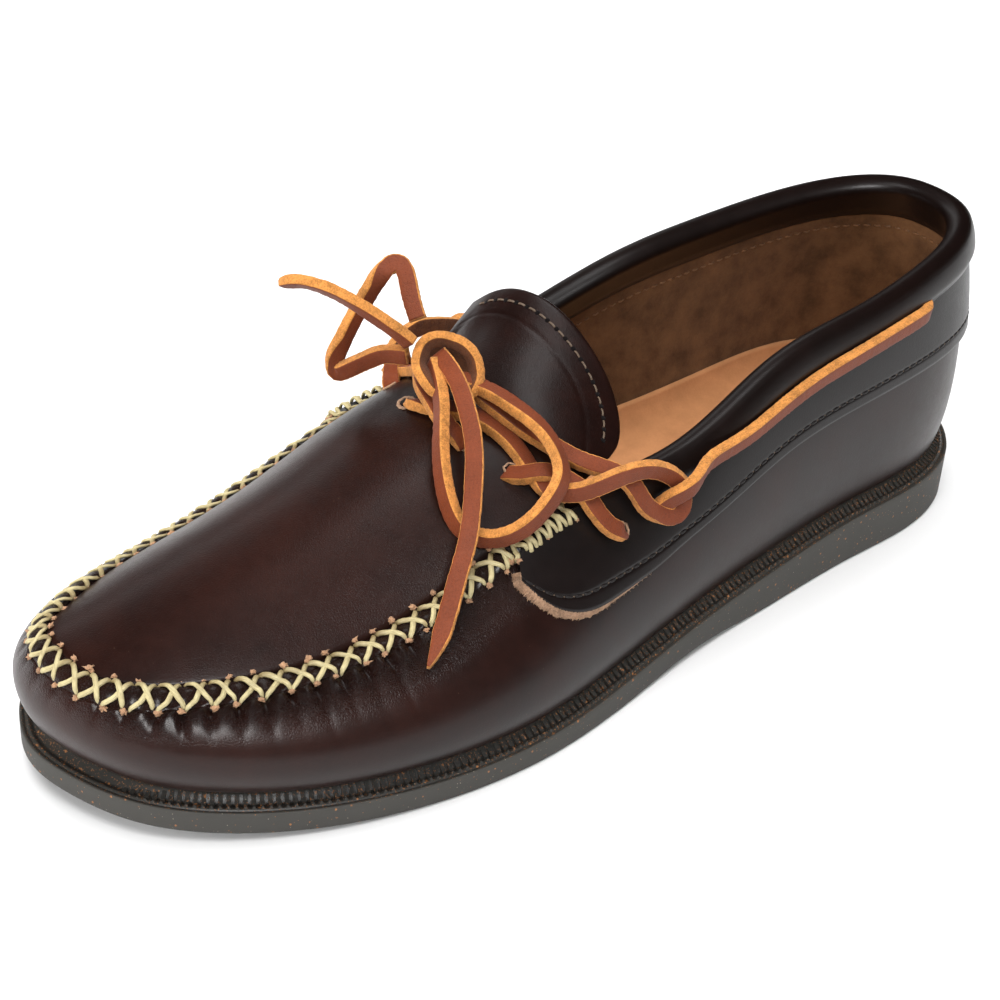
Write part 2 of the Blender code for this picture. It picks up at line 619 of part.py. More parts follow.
def strand_mesh(name, route, finish, collection):
    """Closed tube along a route, with rings that turn as little as they can."""
    line = lace_line(route)
    side = (line[1] - line[0]).orthogonal().normalized()
    vertices, faces = [], []
    for place, point in enumerate(line):
        behind, ahead = line[max(place - 1, 0)], line[min(place + 1, len(line) - 1)]
        along = (ahead - behind).normalized()
        side = (side - side.dot(along) * along).normalized()
        beside = along.cross(side)
        for corner in range(LACE_SIDES):
            turn = 2.0 * math.pi * corner / LACE_SIDES
            vertices.append(point + LACE_RADIUS * MM * (math.cos(turn) * side
                                                        + math.sin(turn) * beside))
    for place in range(len(line) - 1):
        for corner in range(LACE_SIDES):
            here = place * LACE_SIDES + corner
            beside = place * LACE_SIDES + (corner + 1) % LACE_SIDES
            faces.append((here, beside, beside + LACE_SIDES, here + LACE_SIDES))
    last = (len(line) - 1) * LACE_SIDES
    faces.append(tuple(range(LACE_SIDES))[::-1])
    faces.append(tuple(last + corner for corner in range(LACE_SIDES)))
    mesh = bpy.data.meshes.new(name)
    mesh.from_pydata(vertices, [], faces)
    mesh.shade_smooth()
    mesh.materials.append(finish)
    piece = bpy.data.objects.new(name, mesh)
    collection.objects.link(piece)
    return piece


def build_lace_bars(parts, tools, finish):
    """The strands that cross each other, joined into one solid."""
    names = list(BARS)
    bars = strand_mesh("lace_bars", BARS[names[0]], finish, parts)
    for name in names[1:]:
        strand = strand_mesh("strand_" + name, BARS[name], finish, tools)
        strand.hide_render = True
        strand.display_type = "WIRE"
        join = bars.modifiers.new(name, "BOOLEAN")
        join.operation = "UNION"
        join.solver = "EXACT"
        join.object = strand
    return bars


def build_lace_cord(name, parts, finish):
    curve = bpy.data.curves.new(name, "CURVE")
    curve.dimensions = "3D"
    curve.bevel_depth = LACE_RADIUS * MM
    curve.bevel_resolution = 2
    curve.use_fill_caps = True
    line = lace_line(CORDS[name])
    spline = curve.splines.new("POLY")
    spline.points.add(len(line) - 1)
    for point, place in zip(spline.points, line):
        point.co = (*place, 1.0)
    curve.materials.append(finish)
    parts.objects.link(bpy.data.objects.new(name, curve))


def main():
    clear_scene()
    parts = bpy.data.collections.new("canoe_moccasin")
    bpy.context.scene.collection.children.link(parts)
    build_outsole(parts)
    build_insole(parts)
    build_upper(parts)
    build_overlay(parts)
    build_binding(parts)
    build_tongue(parts)
    tools = bpy.data.collections.new("strands_to_join")
    bpy.context.scene.collection.children.link(tools)
    rawhide = material("lace")
    build_lace_bars(parts, tools, rawhide)
    for name in CORDS:
        build_lace_cord(name, parts, rawhide)


main()
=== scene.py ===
"""Canoe moccasin: the dressed left shoe over its solid frame.

The toe points to -X, the outer side of the foot to -Y and +Z is up.  Shape tables are in
millimetres from the toe tip and from the last's axis; in_frame() turns them into metres.
"""
import math
from collections import namedtuple

import bmesh
import bpy
import numpy as np
from mathutils import Matrix, Vector


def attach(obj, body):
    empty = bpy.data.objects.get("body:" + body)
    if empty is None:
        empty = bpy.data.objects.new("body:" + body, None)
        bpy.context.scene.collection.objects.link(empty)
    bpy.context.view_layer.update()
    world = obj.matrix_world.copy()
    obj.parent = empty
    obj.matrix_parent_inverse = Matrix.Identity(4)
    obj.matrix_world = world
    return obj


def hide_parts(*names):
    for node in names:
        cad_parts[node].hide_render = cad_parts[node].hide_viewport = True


bl_info = {
    "name": "Canoe Moccasin",
    "version": (1, 0, 0),
    "blender": (4, 5, 0),
    "location": "View3D > Sidebar > Moccasin",
    "description": "Builds the leather, seams, rawhide lace and sole of a canoe moccasin",
    "category": "Object",
}

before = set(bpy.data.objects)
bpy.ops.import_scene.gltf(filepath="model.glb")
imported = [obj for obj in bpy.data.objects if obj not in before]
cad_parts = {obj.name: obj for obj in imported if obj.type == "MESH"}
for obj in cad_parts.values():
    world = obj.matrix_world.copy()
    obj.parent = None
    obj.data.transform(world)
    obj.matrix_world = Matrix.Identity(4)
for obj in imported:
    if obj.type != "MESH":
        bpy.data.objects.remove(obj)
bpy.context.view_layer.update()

MM = 0.001
UP = np.array((0.0, 0.0, 1.0))
LENGTH = 297.0
# How far the last's axis lies off the frame's middle
AXIS_Y = 5.8
# Gap between two leathers that are seated on each other
GAP = 0.3

# Sole: its lift at the toe and in the waist, its side wall and the ledge round the upper
TOE_SPRING = 5.0
SPRING_LENGTH = 88.0
ARCH_LIFT = 1.6
ARCH_SPAN = (132.0, 196.0)
WALL_FORE = 6.2
WALL_HEEL = 14.5
WALL_RAMP = (95.0, 260.0)
LEDGE_WIDTH = 4.5
LEDGE_RISE = 2.5
TREAD_BEVEL = 0.8

# Thickness of the leathers
UPPER_WALL = 2.2
OVERLAY_WALL = 1.6
INSOLE_WALL = 2.4
RIDGE_WIDTH = 6.0
RIDGE_RISE = 2.4
# Ridge of the apron seam: how far inside of the wall's top edge, and how high over it
RIDGE_SHAPE = [(-1.5, -1.3), (0.0, 0.0), (RIDGE_WIDTH / 2.0, RIDGE_RISE),
               (RIDGE_WIDTH, 0.3 * RIDGE_RISE), (8.0, 0.2 * RIDGE_RISE)]
RIDGE_ROUNDING = 1.2
# Ring row at which the collar band begins
COLLAR_START = 22.0 / 3.0

# One section of the last for each ring row from toe to heel: edge of the sole, top edge of the
# wall, handles of the wall's curve outwards and up, and the apron's middle line
Section = namedtuple("Section", "sole_x sole_out sole_in top_x top_out top_in top_z "
                                "low_out low_up high_out high_up inner_share ridge_y ridge_z")
SECTIONS = [
    Section(0.0, 0.0, 0.0, 5.0, -3.0, -3.0, 36.5, 6.5, 7.0, 7.5, 6.0, 1.0, -3.0, 38.0),
    Section(3.0, -13.8, 12.5, 7.0, -14.5, 7.5, 36.0, 7.0, 7.0, 8.0, 6.0, 0.95, -3.5, 39.0),
    Section(11.0, -28.8, 25.0, 14.0, -25.5, 15.5, 35.3, 8.0, 7.0, 10.0, 5.0, 0.75, -4.5, 41.0),
    Section(26.0, -41.8, 35.3, 28.0, -33.0, 23.0, 34.5, 9.5, 7.0, 13.0, 3.0, 0.5, -4.5, 44.5),
    Section(50.0, -52.9, 43.0, 50.0, -37.0, 28.5, 34.4, 10.5, 7.0, 16.0, 1.5, 0.38, -3.5, 49.0),
    Section(80.0, -59.4, 47.5, 77.0, -37.6, 33.0, 37.9, 10.5, 8.5, 17.5, 2.0, 0.45, -1.5, 55.0),
    Section(110.0, -59.8, 46.5, 104.0, -36.0, 35.5, 46.2, 9.5, 11.0, 15.0, 6.0, 0.65, 3.0, 62.0),
    Section(140.0, -54.2, 40.0, 129.0, -35.0, 34.0, 53.0, 8.0, 13.0, 11.0, 11.0, 1.0, 6.0, 68.0),
    Section(170.0, -48.0, 34.0, 162.0, -37.2, 37.0, 57.5, 7.0, 14.0, 7.0, 15.0, 1.0, 6.0, 70.0),
    Section(200.0, -43.7, 32.0, 196.0, -33.6, 33.8, 69.3, 6.0, 16.0, 6.0, 18.0, 1.0, 6.0, 70.0),
    Section(230.0, -40.3, 32.7, 227.0, -32.2, 31.8, 74.6, 5.5, 16.0, 5.5, 18.0, 1.0, 6.0, 70.0),
    Section(258.0, -38.0, 34.2, 254.0, -29.0, 28.0, 78.3, 5.5, 16.0, 6.0, 20.0, 1.0, 6.0, 70.0),
    Section(280.0, -29.5, 28.8, 275.0, -22.5, 21.5, 80.8, 5.0, 16.0, 6.5, 22.0, 1.0, 6.0, 70.0),
    Section(293.0, -14.8, 14.8, 287.0, -12.0, 11.5, 82.2, 4.0, 16.0, 6.0, 24.0, 1.0, 6.0, 70.0),
    Section(297.0, 0.0, 0.0, 290.0, 0.0, 0.0, 82.5, 4.0, 16.0, 5.5, 25.0, 1.0, 6.0, 70.0),
]
HEEL_ROW = len(SECTIONS) - 1
RING = 2 * HEEL_ROW
THROAT_ROW = 7.0

# Nose and edges of the quarter overlay: ring row and wall height of its lower and upper edge
OVERLAY = [
    (6.07, 0.82, 6.13, 0.87), (6.11, 0.74, 6.24, 0.92), (6.24, 0.62, 6.42, 0.94),
    (6.50, 0.53, 6.64, 0.95), (6.85, 0.50, 6.93, 0.96), (7.40, 0.52, 7.45, 0.97),
    (8.00, 0.585, 8.0, 0.97), (9.00, 0.60, 9.0, 0.975), (10.0, 0.60, 10.0, 0.98),
    (11.0, 0.60, 11.0, 0.98), (12.0, 0.60, 12.0, 0.98), (13.0, 0.60, 13.0, 0.98),
    (14.0, 0.60, 14.0, 0.98),
]

TONGUE_RIM = [
    (145.0, -29.0, 55.8), (151.0, -25.5, 58.0), (156.0, -18.5, 62.5), (157.5, -9.5, 70.0),
    (156.0, 1.0, 77.5), (153.0, 11.0, 81.5), (149.5, 22.0, 80.0), (147.0, 32.5, 71.5),
]
TONGUE_DOME = 2.5
# Radius of the tongue's rolled rim, and how far inside of it the stitches and the crease run
RIM_RADIUS = 1.45
STITCH_DISTANCE = 4.4
CREASE_DISTANCE = 9.8
SOCK_CURL = 9.0
LINING_STITCH_DEPTH = 13.5

# Apron seam, one value for each ring row from the toe to the throat: how far below the top
# edge the lower holes lie, and how far inside the ridge's crest the upper holes lie.
LOWER_HOLES = [2.9, 2.5, 1.9, 1.8, 3.1, 4.3, 4.8, 4.3]
UPPER_HOLES = [-0.4, -0.6, 0.8, 0.7, -1.2, -2.2, -2.5, -1.8]
# Rows over which the sewn seam fades into the quarters, and how many holes a row would hold there
SEAM_END_ROWS = (6.55, 6.95)
STATIONS_PER_ROW = 4.0
# Close stitches at each end of the seam: their run, their share of the wide pitch, how many of
# them are drawn out wide, and how far before the throat the last one lies
CLOSE_RUN = 23.0
CLOSE_PITCH = 0.54
WHIP = 6
SEAM_REST = 1.5
# How far the pleats run down the wrap, and about how far it is from the seam to the ledge
PLEAT_RUN = 6.5
WRAP_RUN = 42.0
# Points along one leg of the seam's thread
LEG_POINTS = 17
# Height of the thread's middle over the leather, how much higher the falling leg crosses over the
# rising one, how deep the ends dive into the holes, and how far they stray along the seam
THREAD_LIFT = 0.34
CROSSING_LIFT = 0.45
THREAD_DIVE = 1.5
THREAD_WOBBLE = 0.04
# Section of the heel seam: how far off its middle, in thirtieths of a ring row, and how high over
# the wall
HEEL_SEAM = [(-3.0, -0.1), (-1.9, 0.35), (-0.9, 1.0), (0.0, 1.25), (0.9, 1.0), (1.9, 0.35), (3.0, -0.1)]
# Ring row and share of the ridge at which the tag of raw leather sits below the threads
TAG_ROW, TAG_ACROSS = 6.14, 0.175
TAG_SIZE = 2.3
# Share of the overlay's front cut that stays free below the seam's thread
NOSE_CUT = 0.62

# Middle line of every strand of the lace, from the knot outwards
BARS = {
    "bight_outer": [
        (117.0, 1.5, 73.6), (120.6, -4.0, 71.9),
        (123.0, -8.5, 69.6), (124.5, -12.0, 68.0), (127.0, -17.0, 65.4), (130.0, -21.5, 63.0),
        (133.0, -26.0, 60.8), (136.0, -31.0, 59.4), (138.5, -36.5, 59.4), (141.5, -42.0, 57.4),
        (144.0, -45.0, 52.2), (148.0, -46.0, 48.4), (151.6, -47.0, 47.0), (154.6, -47.0, 48.2),
        (155.8, -46.0, 51.2), (154.9, -45.4, 54.5), (152.4, -44.4, 57.3), (148.8, -43.8, 59.6),
        (144.0, -43.8, 61.4), (138.0, -43.3, 61.6), (132.0, -41.5, 59.8), (127.0, -38.9, 58.1),
        (123.8, -34.5, 57.3), (123.0, -29.0, 57.7), (123.4, -22.5, 60.3), (122.8, -17.0, 63.1),
        (121.2, -12.0, 65.2), (119.0, -8.0, 66.5), (116.3, -4.0, 67.0), (114.0, -0.5, 66.8),
        (112.6, 2.8, 66.1), (112.0, 5.6, 65.4), (111.8, 8.0, 64.0),
        (111.8, 10.0, 61.4)],
    "eyelet_outer": [
        (119.6, -19.6, 52.6), (118.4, -21.4, 56.0),
        (118.8, -23.8, 57.8), (120.6, -26.8, 58.9), (123.8, -30.0, 60.2), (127.5, -33.0, 58.9),
        (130.0, -37.5, 56.8), (131.0, -41.2, 53.6), (133.2, -44.2, 49.6), (135.6, -45.3, 47.6),
        (137.6, -44.6, 45.6), (138.8, -41.8, 44.0)],
    "collar_outer": [
        (150.0, -44.6, 48.8), (151.0, -46.2, 51.4), (152.8, -47.8, 53.4), (156.0, -48.6, 55.2),
        (160.5, -46.6, 56.2), (166.0, -44.2, 56.9), (174.0, -43.0, 57.5), (182.0, -42.2, 58.7),
        (190.0, -41.0, 60.5), (200.0, -39.8, 63.1), (210.0, -39.2, 65.5), (220.0, -39.0, 67.4),
        (230.0, -38.5, 68.9), (240.0, -37.6, 70.1), (248.0, -36.6, 70.9),
        (251.5, -35.2, 71.1), (254.0, -32.4, 71.2)],
    "bight_inner": [
        (117.5, 5.0, 75.5), (119.6, 9.0, 74.2),
        (121.5, 13.0, 73.0), (124.0, 16.5, 71.5), (126.5, 20.5, 69.3), (129.3, 24.8, 66.4),
        (132.0, 29.0, 63.4), (135.5, 33.5, 61.2), (138.5, 37.5, 59.6), (141.5, 42.5, 56.8),
        (144.0, 44.8, 52.0), (148.5, 45.6, 48.8), (153.0, 46.0, 46.9), (156.8, 46.2, 48.0),
        (158.2, 45.8, 51.0), (157.0, 45.0, 54.5), (154.0, 44.2, 57.5), (149.5, 43.6, 59.8),
        (144.0, 43.6, 61.4), (138.0, 43.5, 62.2), (132.0, 42.0, 60.6), (127.0, 39.2, 59.0),
        (124.0, 35.0, 58.3), (123.3, 30.0, 60.0), (123.0, 25.0, 62.6), (121.8, 20.0, 65.3),
        (119.7, 15.5, 67.5), (117.0, 11.5, 68.8), (114.4, 7.5, 69.7), (112.3, 2.5, 69.8),
        (111.2, -3.0, 68.4), (111.0, -7.5, 66.2), (111.8, -10.5, 64.4),
        (112.4, -12.6, 61.6)],
    "eyelet_inner": [
        (118.4, 24.4, 54.0), (117.8, 25.2, 57.4),
        (118.6, 26.8, 59.4), (120.3, 29.0, 60.6), (123.5, 31.8, 62.4), (127.5, 34.5, 60.0),
        (130.0, 38.2, 56.8), (131.2, 41.0, 53.2), (133.2, 43.0, 49.6), (136.0, 44.2, 47.6),
        (138.4, 43.0, 45.2), (140.0, 40.0, 44.2)],
    "collar_inner": [
        (154.2, 45.6, 48.8), (153.0, 45.8, 52.4), (153.0, 46.6, 55.8), (155.8, 47.2, 57.6),
        (160.5, 45.6, 56.4), (166.0, 43.6, 56.9), (174.0, 42.6, 57.6), (182.0, 42.0, 58.6),
        (190.0, 41.0, 60.4), (200.0, 39.8, 63.0), (210.0, 39.1, 65.4), (220.0, 38.6, 67.3),
        (230.0, 37.9, 68.9), (240.0, 36.8, 70.1), (248.0, 35.6, 70.9),
        (251.5, 34.2, 71.1), (254.0, 31.6, 71.2)],
}
CORDS = {
    "lace_knot": [
        (115.6, -5.0, 72.2), (118.4, -6.2, 72.8), (121.2, -4.9, 74.3), (122.5, -3.1, 76.1),
        (123.1, -0.9, 78.2), (122.5, 2.0, 79.9), (120.8, 4.6, 80.8), (118.2, 6.8, 81.1),
        (115.6, 7.7, 80.4), (113.6, 7.1, 78.8), (111.9, 5.6, 76.6), (111.4, 3.1, 75.2),
        (111.9, -0.4, 73.2), (113.4, -3.2, 72.2)],
    "lace_loop_outer": [
        (115.1, 4.6, 76.7), (112.9, -1.0, 74.3), (109.2, -7.6, 70.9), (104.5, -14.0, 65.6),
        (101.0, -20.5, 59.8), (99.5, -26.5, 54.6), (101.0, -31.5, 51.4), (105.5, -36.5, 51.4),
        (112.0, -39.0, 54.0), (118.0, -39.5, 58.8), (123.0, -37.5, 62.8), (126.0, -32.0, 65.6),
        (127.0, -24.0, 68.6), (125.3, -16.0, 71.0), (123.4, -11.5, 72.6),
        (121.4, -6.8, 73.4), (118.6, -2.0, 74.4)],
    "lace_loop_inner": [
        (111.0, 9.4, 77.6), (108.0, 14.5, 76.6), (106.0, 18.0, 74.4), (103.0, 22.5, 70.6),
        (101.2, 26.0, 68.4), (101.2, 27.0, 71.5), (102.8, 26.5, 75.8), (105.2, 26.0, 80.6),
        (107.8, 25.5, 85.1), (110.8, 25.0, 89.8), (113.8, 24.5, 93.7), (116.8, 23.5, 95.4),
        (117.9, 21.0, 94.0), (117.0, 17.5, 90.0), (116.4, 14.5, 86.6), (116.2, 12.8, 84.8)],
    "lace_end_outer": [
        (117.2, 4.7, 78.1), (116.4, -1.0, 77.1), (115.0, -7.2, 75.0), (112.9, -13.2, 72.0),
        (110.9, -18.0, 69.0),
        (108.2, -22.6, 65.4), (104.5, -27.5, 61.8), (100.0, -33.0, 57.8), (96.0, -36.8, 53.0),
        (91.0, -40.4, 47.8), (86.0, -44.2, 43.0), (80.2, -48.2, 38.0), (75.4, -51.0, 35.0)],
    "lace_end_inner": [
        (111.0, 8.3, 81.6), (108.6, 10.6, 84.4), (106.0, 13.5, 86.8), (102.0, 17.5, 90.2),
        (98.0, 22.5, 92.9), (95.2, 26.0, 94.0), (92.4, 30.0, 94.1), (89.6, 34.0, 92.4)],
}

# Spacing of the rings along a strand, and how round its corners are
STRAP_STEP = 0.7
STRAP_CORNER = 0.38
# Middle of the knot, seen between its strands, and the way it faces; the dark tube there is painted
# shade
KNOT_HEART = [(113.4, 5.6, 75.0), (116.2, 5.6, 76.6), (119.2, 3.2, 77.0), (120.4, -0.2, 75.6),
              (118.4, -2.6, 73.6)]
HEART_FACING = (-0.49, -0.68, 0.55)
# Face, middle, direction, length, width and width of the raw rim of each hole of the lace
LACE_HOLES = [
    ("plug", (120.2, -22.0, 56.6), (1.0, -0.8, 0.0), 3.8, 3.2, 0.6),
    ("plug", (111.6, 10.2, 63.7), (0.3, 1.0, 0.0), 4.6, 4.2, 1.0),
    ("plug", (112.8, -11.2, 61.5), (0.3, -1.0, 0.0), 4.6, 3.0, 0.9),
    ("plug", (118.8, 24.7, 57.0), (1.0, 0.8, 0.0), 5.2, 3.4, 0.9),
    ("quarter", (138.0, -44.4, 46.2), (0.8, 0.2, -0.6), 4.4, 4.2, 0.9),
    ("quarter", (138.0, 43.2, 45.8), (0.8, -0.2, -0.6), 4.4, 3.8, 1.3),
]
# Way the grain face looks along each strand: share of its length and direction
LACE_FACING = {
    "bight_outer": [
        (0.00, (0.06, -0.61, 0.79)), (0.20, (0.06, -0.61, 0.79)), (0.26, (-0.16, -0.67, 0.72)),
        (0.38, (-0.22, -0.68, 0.70)), (0.43, (-0.58, -0.81, 0.14)), (0.48, (-0.58, -0.81, -0.07)),
        (0.68, (-0.58, -0.81, -0.07)), (0.73, (0.15, -0.58, 0.80)), (1.00, (0.15, -0.58, 0.80))],
    "eyelet_outer": [
        (0.00, (-0.20, -0.28, 0.94)), (0.45, (-0.20, -0.28, 0.94)), (0.65, (-0.02, -0.64, 0.77)),
        (1.00, (-0.02, -0.64, 0.77))],
    "collar_outer": [(0.0, (-0.5, -0.8, -0.2)), (0.05, (-0.4, -0.9, -0.2)), (0.16, (0.0, -0.98, -0.2)),
                     (1.0, (0.0, -0.98, -0.1))],
    "bight_inner": [(0.0, (0.0, 0.3, 0.95)), (0.17, (0.05, 0.35, 0.93)), (0.24, (-0.1, 0.8, 0.6)),
                    (0.33, (-0.1, 0.97, 0.15)), (0.42, (0.1, 1.0, -0.15)), (0.50, (0.0, 0.97, -0.2)),
                    (0.62, (-0.1, 0.95, -0.2)), (0.70, (0.1, 0.8, 0.5)), (0.78, (0.1, 0.2, 0.97)),
                    (1.0, (-0.1, -0.3, 0.95))],
    "eyelet_inner": [(0.0, (0.1, 0.3, 0.95)), (0.6, (0.1, 0.7, 0.7)), (1.0, (0.1, 0.85, 0.5))],
    "collar_inner": [(0.0, (0.2, 1.0, 0.1)), (0.1, (-0.2, 1.0, 0.0)), (0.25, (0.0, 0.98, -0.2)),
                     (1.0, (0.0, 0.98, -0.1))],
    "lace_knot": [
        (0.00, (0.65, -0.24, -0.72)), (0.22, (0.95, -0.12, -0.30)), (0.32, (0.93, 0.29, 0.20)),
        (0.46, (0.53, 0.74, 0.41)), (0.60, (-0.03, 0.98, 0.20)), (0.75, (-0.42, 0.86, -0.30)),
        (0.88, (-0.41, 0.45, -0.79)), (1.00, (0.0, 0.05, -1.00))],
    "lace_loop_outer": [
        (0.00, (-0.93, 0.29, 0.20)), (0.15, (-0.93, 0.20, 0.20)), (0.33, (-0.96, -0.26, 0.06)),
        (0.46, (-0.56, -0.78, -0.28)),
        (0.58, (-0.01, -1.00, -0.02)), (0.72, (0.30, -0.89, 0.36)), (0.88, (0.31, -0.63, 0.71)),
        (1.00, (0.31, -0.63, 0.71))],
    "lace_loop_inner": [
        (0.00, (-0.58, -0.81, -0.10)), (0.28, (-0.58, -0.81, -0.10)), (0.36, (-0.29, -0.93, 0.24)),
        (0.45, (0.33, -0.88, 0.34)), (0.66, (0.33, -0.83, 0.44)), (0.74, (-0.10, -0.66, 0.75)),
        (0.82, (-0.57, -0.62, 0.54)), (1.00, (-0.57, -0.62, 0.54))],
    "lace_end_outer": [
        (0.00, (-0.50, -0.67, 0.55)), (0.60, (-0.54, -0.63, 0.55)), (1.00, (-0.62, -0.56, 0.55))],
    "lace_end_inner": [
        (0.00, (-0.43, -0.60, -0.68)), (1.00, (-0.38, -0.54, -0.75))],
}
# Taper of a strand's start or end: its length, how full it is, and the width left at the tip
LACE_TIPS = {
    "eyelet_outer": {"tip_start": (3.5, 0.8, 0.6), "tip_end": (6.5, 0.8, 0.55)},
    "eyelet_inner": {"tip_start": (3.5, 0.8, 0.6), "tip_end": (6.5, 0.8, 0.55)},
    "bight_outer": {"tip_end": (4.0, 0.8, 0.6)},
    "bight_inner": {"tip_end": (4.0, 0.8, 0.6)},
    "lace_end_outer": {"tip_end": (9.0, 0.8, 0.15)},
    "lace_end_inner": {"tip_end": (3.0, 0.5, 0.3)},
}


# ---------------------------------------------------------------- curves
def cubic_blend(points, second, here, following, part):
    """Points of a cubic spline between two of its knots, from their second derivatives."""
    here_share = ((1 - part) ** 3 - (1 - part)) / 6.0
    next_share = (part ** 3 - part) / 6.0
    return ((1 - part) * points[here] + part * points[following]
            + here_share * second[here] + next_share * second[following])


def closed_spline(values):
    """Smooth closed curve through values, one per ring row; takes an array of rows."""
    points = np.array(values, dtype=float)
    count = len(points)
    unit = np.eye(count)
    system = 4.0 * unit + np.roll(unit, 1, 0) + np.roll(unit, -1, 0)
    bend = 6.0 * (np.roll(points, -1, 0) - 2.0 * points + np.roll(points, 1, 0))
    second = np.linalg.solve(system, bend)

    def evaluate(row):
        row = np.asarray(row, dtype=float)
        low = np.floor(row).astype(int)
        part = (row - low)[..., None]
        return cubic_blend(points, second, low % count, (low + 1) % count, part)

    return evaluate


def open_spline(values):
    """Smooth open curve through equally spaced values; takes an array of 0..1."""
    points = np.array(values, dtype=float)
    count = len(points)
    system = np.eye(count)
    bend = np.zeros_like(points)
    for row in range(1, count - 1):
        system[row, row - 1:row + 2] = (1.0, 4.0, 1.0)
        bend[row] = 6.0 * (points[row + 1] - 2.0 * points[row] + points[row - 1])
    second = np.linalg.solve(system, bend)

    def evaluate(share):
        place = np.clip(np.asarray(share, dtype=float), 0.0, 1.0) * (count - 1)
        here = np.minimum(place.astype(int), count - 2)
        return cubic_blend(points, second, here, here + 1, (place - here)[..., None])

    return evaluate


def ease(value, start, end):
    """0 at start and 1 at end, smooth in between and level beyond."""
    part = np.clip((np.asarray(value, dtype=float) - start) / (end - start), 0.0, 1.0)
    return part * part * (3.0 - 2.0 * part)


def unit_vectors(vectors):
    """The same directions, each of length 1."""
    size = np.linalg.norm(vectors, axis=-1, keepdims=True)
    return vectors / np.maximum(size, 1e-9)


def run_of(line):
    """Length run along a line at each of its points."""
    return np.concatenate([[0.0], np.cumsum(np.linalg.norm(np.diff(line, axis=0), axis=1))])


def along_line(places, reach, values):
    """Values kept along a line, read at other lengths of it."""
    return np.stack([np.interp(places, reach, values[:, k]) for k in range(values.shape[1])], -1)


def by_length(curve, start, end, spacing):
    """Rows from start to end that lie evenly spaced along a curve."""
    rows = np.linspace(start, end, 4000)
    reach = run_of(curve(rows))
    count = max(2, int(round(reach[-1] / spacing)))
    return np.interp(np.linspace(0.0, reach[-1], count + 1), reach, rows)


def ring_run(curve):
    """Rows all round a ring, and the length run along it up to each of them."""
    rows = np.linspace(0.0, RING, 8001)
    return rows, run_of(curve(rows))


def off_toe(row):
    """Ring rows counted from the toe: positive on the outer side, negative on the inner side."""
    return (np.asarray(row, dtype=float) + HEEL_ROW) % RING - HEEL_ROW


def matched(row, other):
    """Two values, or arrays of them, brought to one shape."""
    return np.broadcast_arrays(np.asarray(row, dtype=float), np.asarray(other, dtype=float))


# ---------------------------------------------------------------- the last
def around(outer, inner):
    """Values of one column for the whole ring: toe, lateral side, heel, medial side."""
    lateral = [outer(section) for section in SECTIONS]
    medial = [inner(section) for section in SECTIONS[HEEL_ROW - 1:0:-1]]
    return lateral + medial


sole_edge = closed_spline(around(lambda s: (s.sole_x, s.sole_out), lambda s: (s.sole_x, s.sole_in)))
top_edge = closed_spline(around(lambda s: (s.top_x, s.top_out, s.top_z),
                                lambda s: (s.top_x, s.top_in, s.top_z)))
handles = closed_spline(around(lambda s: (s.low_out, s.low_up, s.high_out, s.high_up),
                               lambda s: (s.low_out, s.low_up, s.inner_share * s.high_out,
                                          s.high_up)))
ridge_line = closed_spline(around(lambda s: (s.ridge_y, s.ridge_z),
                                  lambda s: (s.ridge_y, s.ridge_z)))


def plan_normal(curve, row):
    """Unit vectors that point out of a ring in plan."""
    row = np.asarray(row, dtype=float)
    along = unit_vectors((curve(row + 0.02) - curve(row - 0.02))[..., :2])
    return np.stack([along[..., 1], -along[..., 0]], -1)


def with_z(plan, height):
    """Plan points raised to a height."""
    height = np.asarray(height, dtype=float)[..., None]
    return np.concatenate([plan, np.broadcast_to(height, plan.shape[:-1] + (1,))], -1)


def inset_edge(row, distance):
    """Points of the sole's edge moved inwards in plan."""
    return sole_edge(row) - np.asarray(distance)[..., None] * plan_normal(sole_edge, row)


def toe_spring(x):
    """How far the sole's toe lifts off the ground."""
    return TOE_SPRING * np.maximum(0.0, 1.0 - x / SPRING_LENGTH) ** 2


def tread_z(x):
    """Underside of the sole."""
    middle = np.clip((x - ARCH_SPAN[0]) / (ARCH_SPAN[1] - ARCH_SPAN[0]), 0.0, 1.0)
    return toe_spring(x) + ARCH_LIFT * np.sin(math.pi * middle) ** 2


def wall_z(x):
    """Upper rim of the sole's side wall."""
    return toe_spring(x) + WALL_FORE + (WALL_HEEL - WALL_FORE) * ease(x, *WALL_RAMP)


def seat_z(x):
    """Top of the sole, on which sock and upper stand."""
    return wall_z(x) + LEDGE_RISE


def wall(row, height):
    """Outer face of the upper: height 0 at the ledge, 1 at the apron seam or topline."""
    row, height = matched(row, height)
    plan = inset_edge(row, LEDGE_WIDTH)
    foot = with_z(plan, seat_z(plan[..., 0]) + GAP)
    top = top_edge(row)
    shape = handles(row)
    outward = with_z(plan_normal(sole_edge, row), 0.0)
    low = foot + shape[..., 0:1] * outward + shape[..., 1:2] * UP
    high = top + shape[..., 2:3] * outward - shape[..., 3:4] * UP
    h = height[..., None]
    rest = 1.0 - h
    return rest ** 3 * foot + 3 * rest * rest * h * low + 3 * rest * h * h * high + h ** 3 * top


def wall_frame(row, height):
    """Outward normals and upward tangents of the wall."""
    along = wall(row + 0.05, height) - wall(row - 0.05, height)
    upward = wall(row, np.minimum(height + 0.02, 1.0)) - wall(row, np.maximum(height - 0.02, 0.0))
    return unit_vectors(np.cross(along, upward)), unit_vectors(upward)


def offset_wall(row, height, lift):
    """Points of the wall lifted off its face."""
    row, height = matched(row, height)
    return wall(row, height) + np.asarray(lift)[..., None] * wall_frame(row, height)[0]


def wall_speed(row):
    """Millimetres that the wall runs near its top edge for each unit of its height."""
    return np.linalg.norm(wall(row, 1.0) - wall(row, 0.9), axis=-1) / 0.1


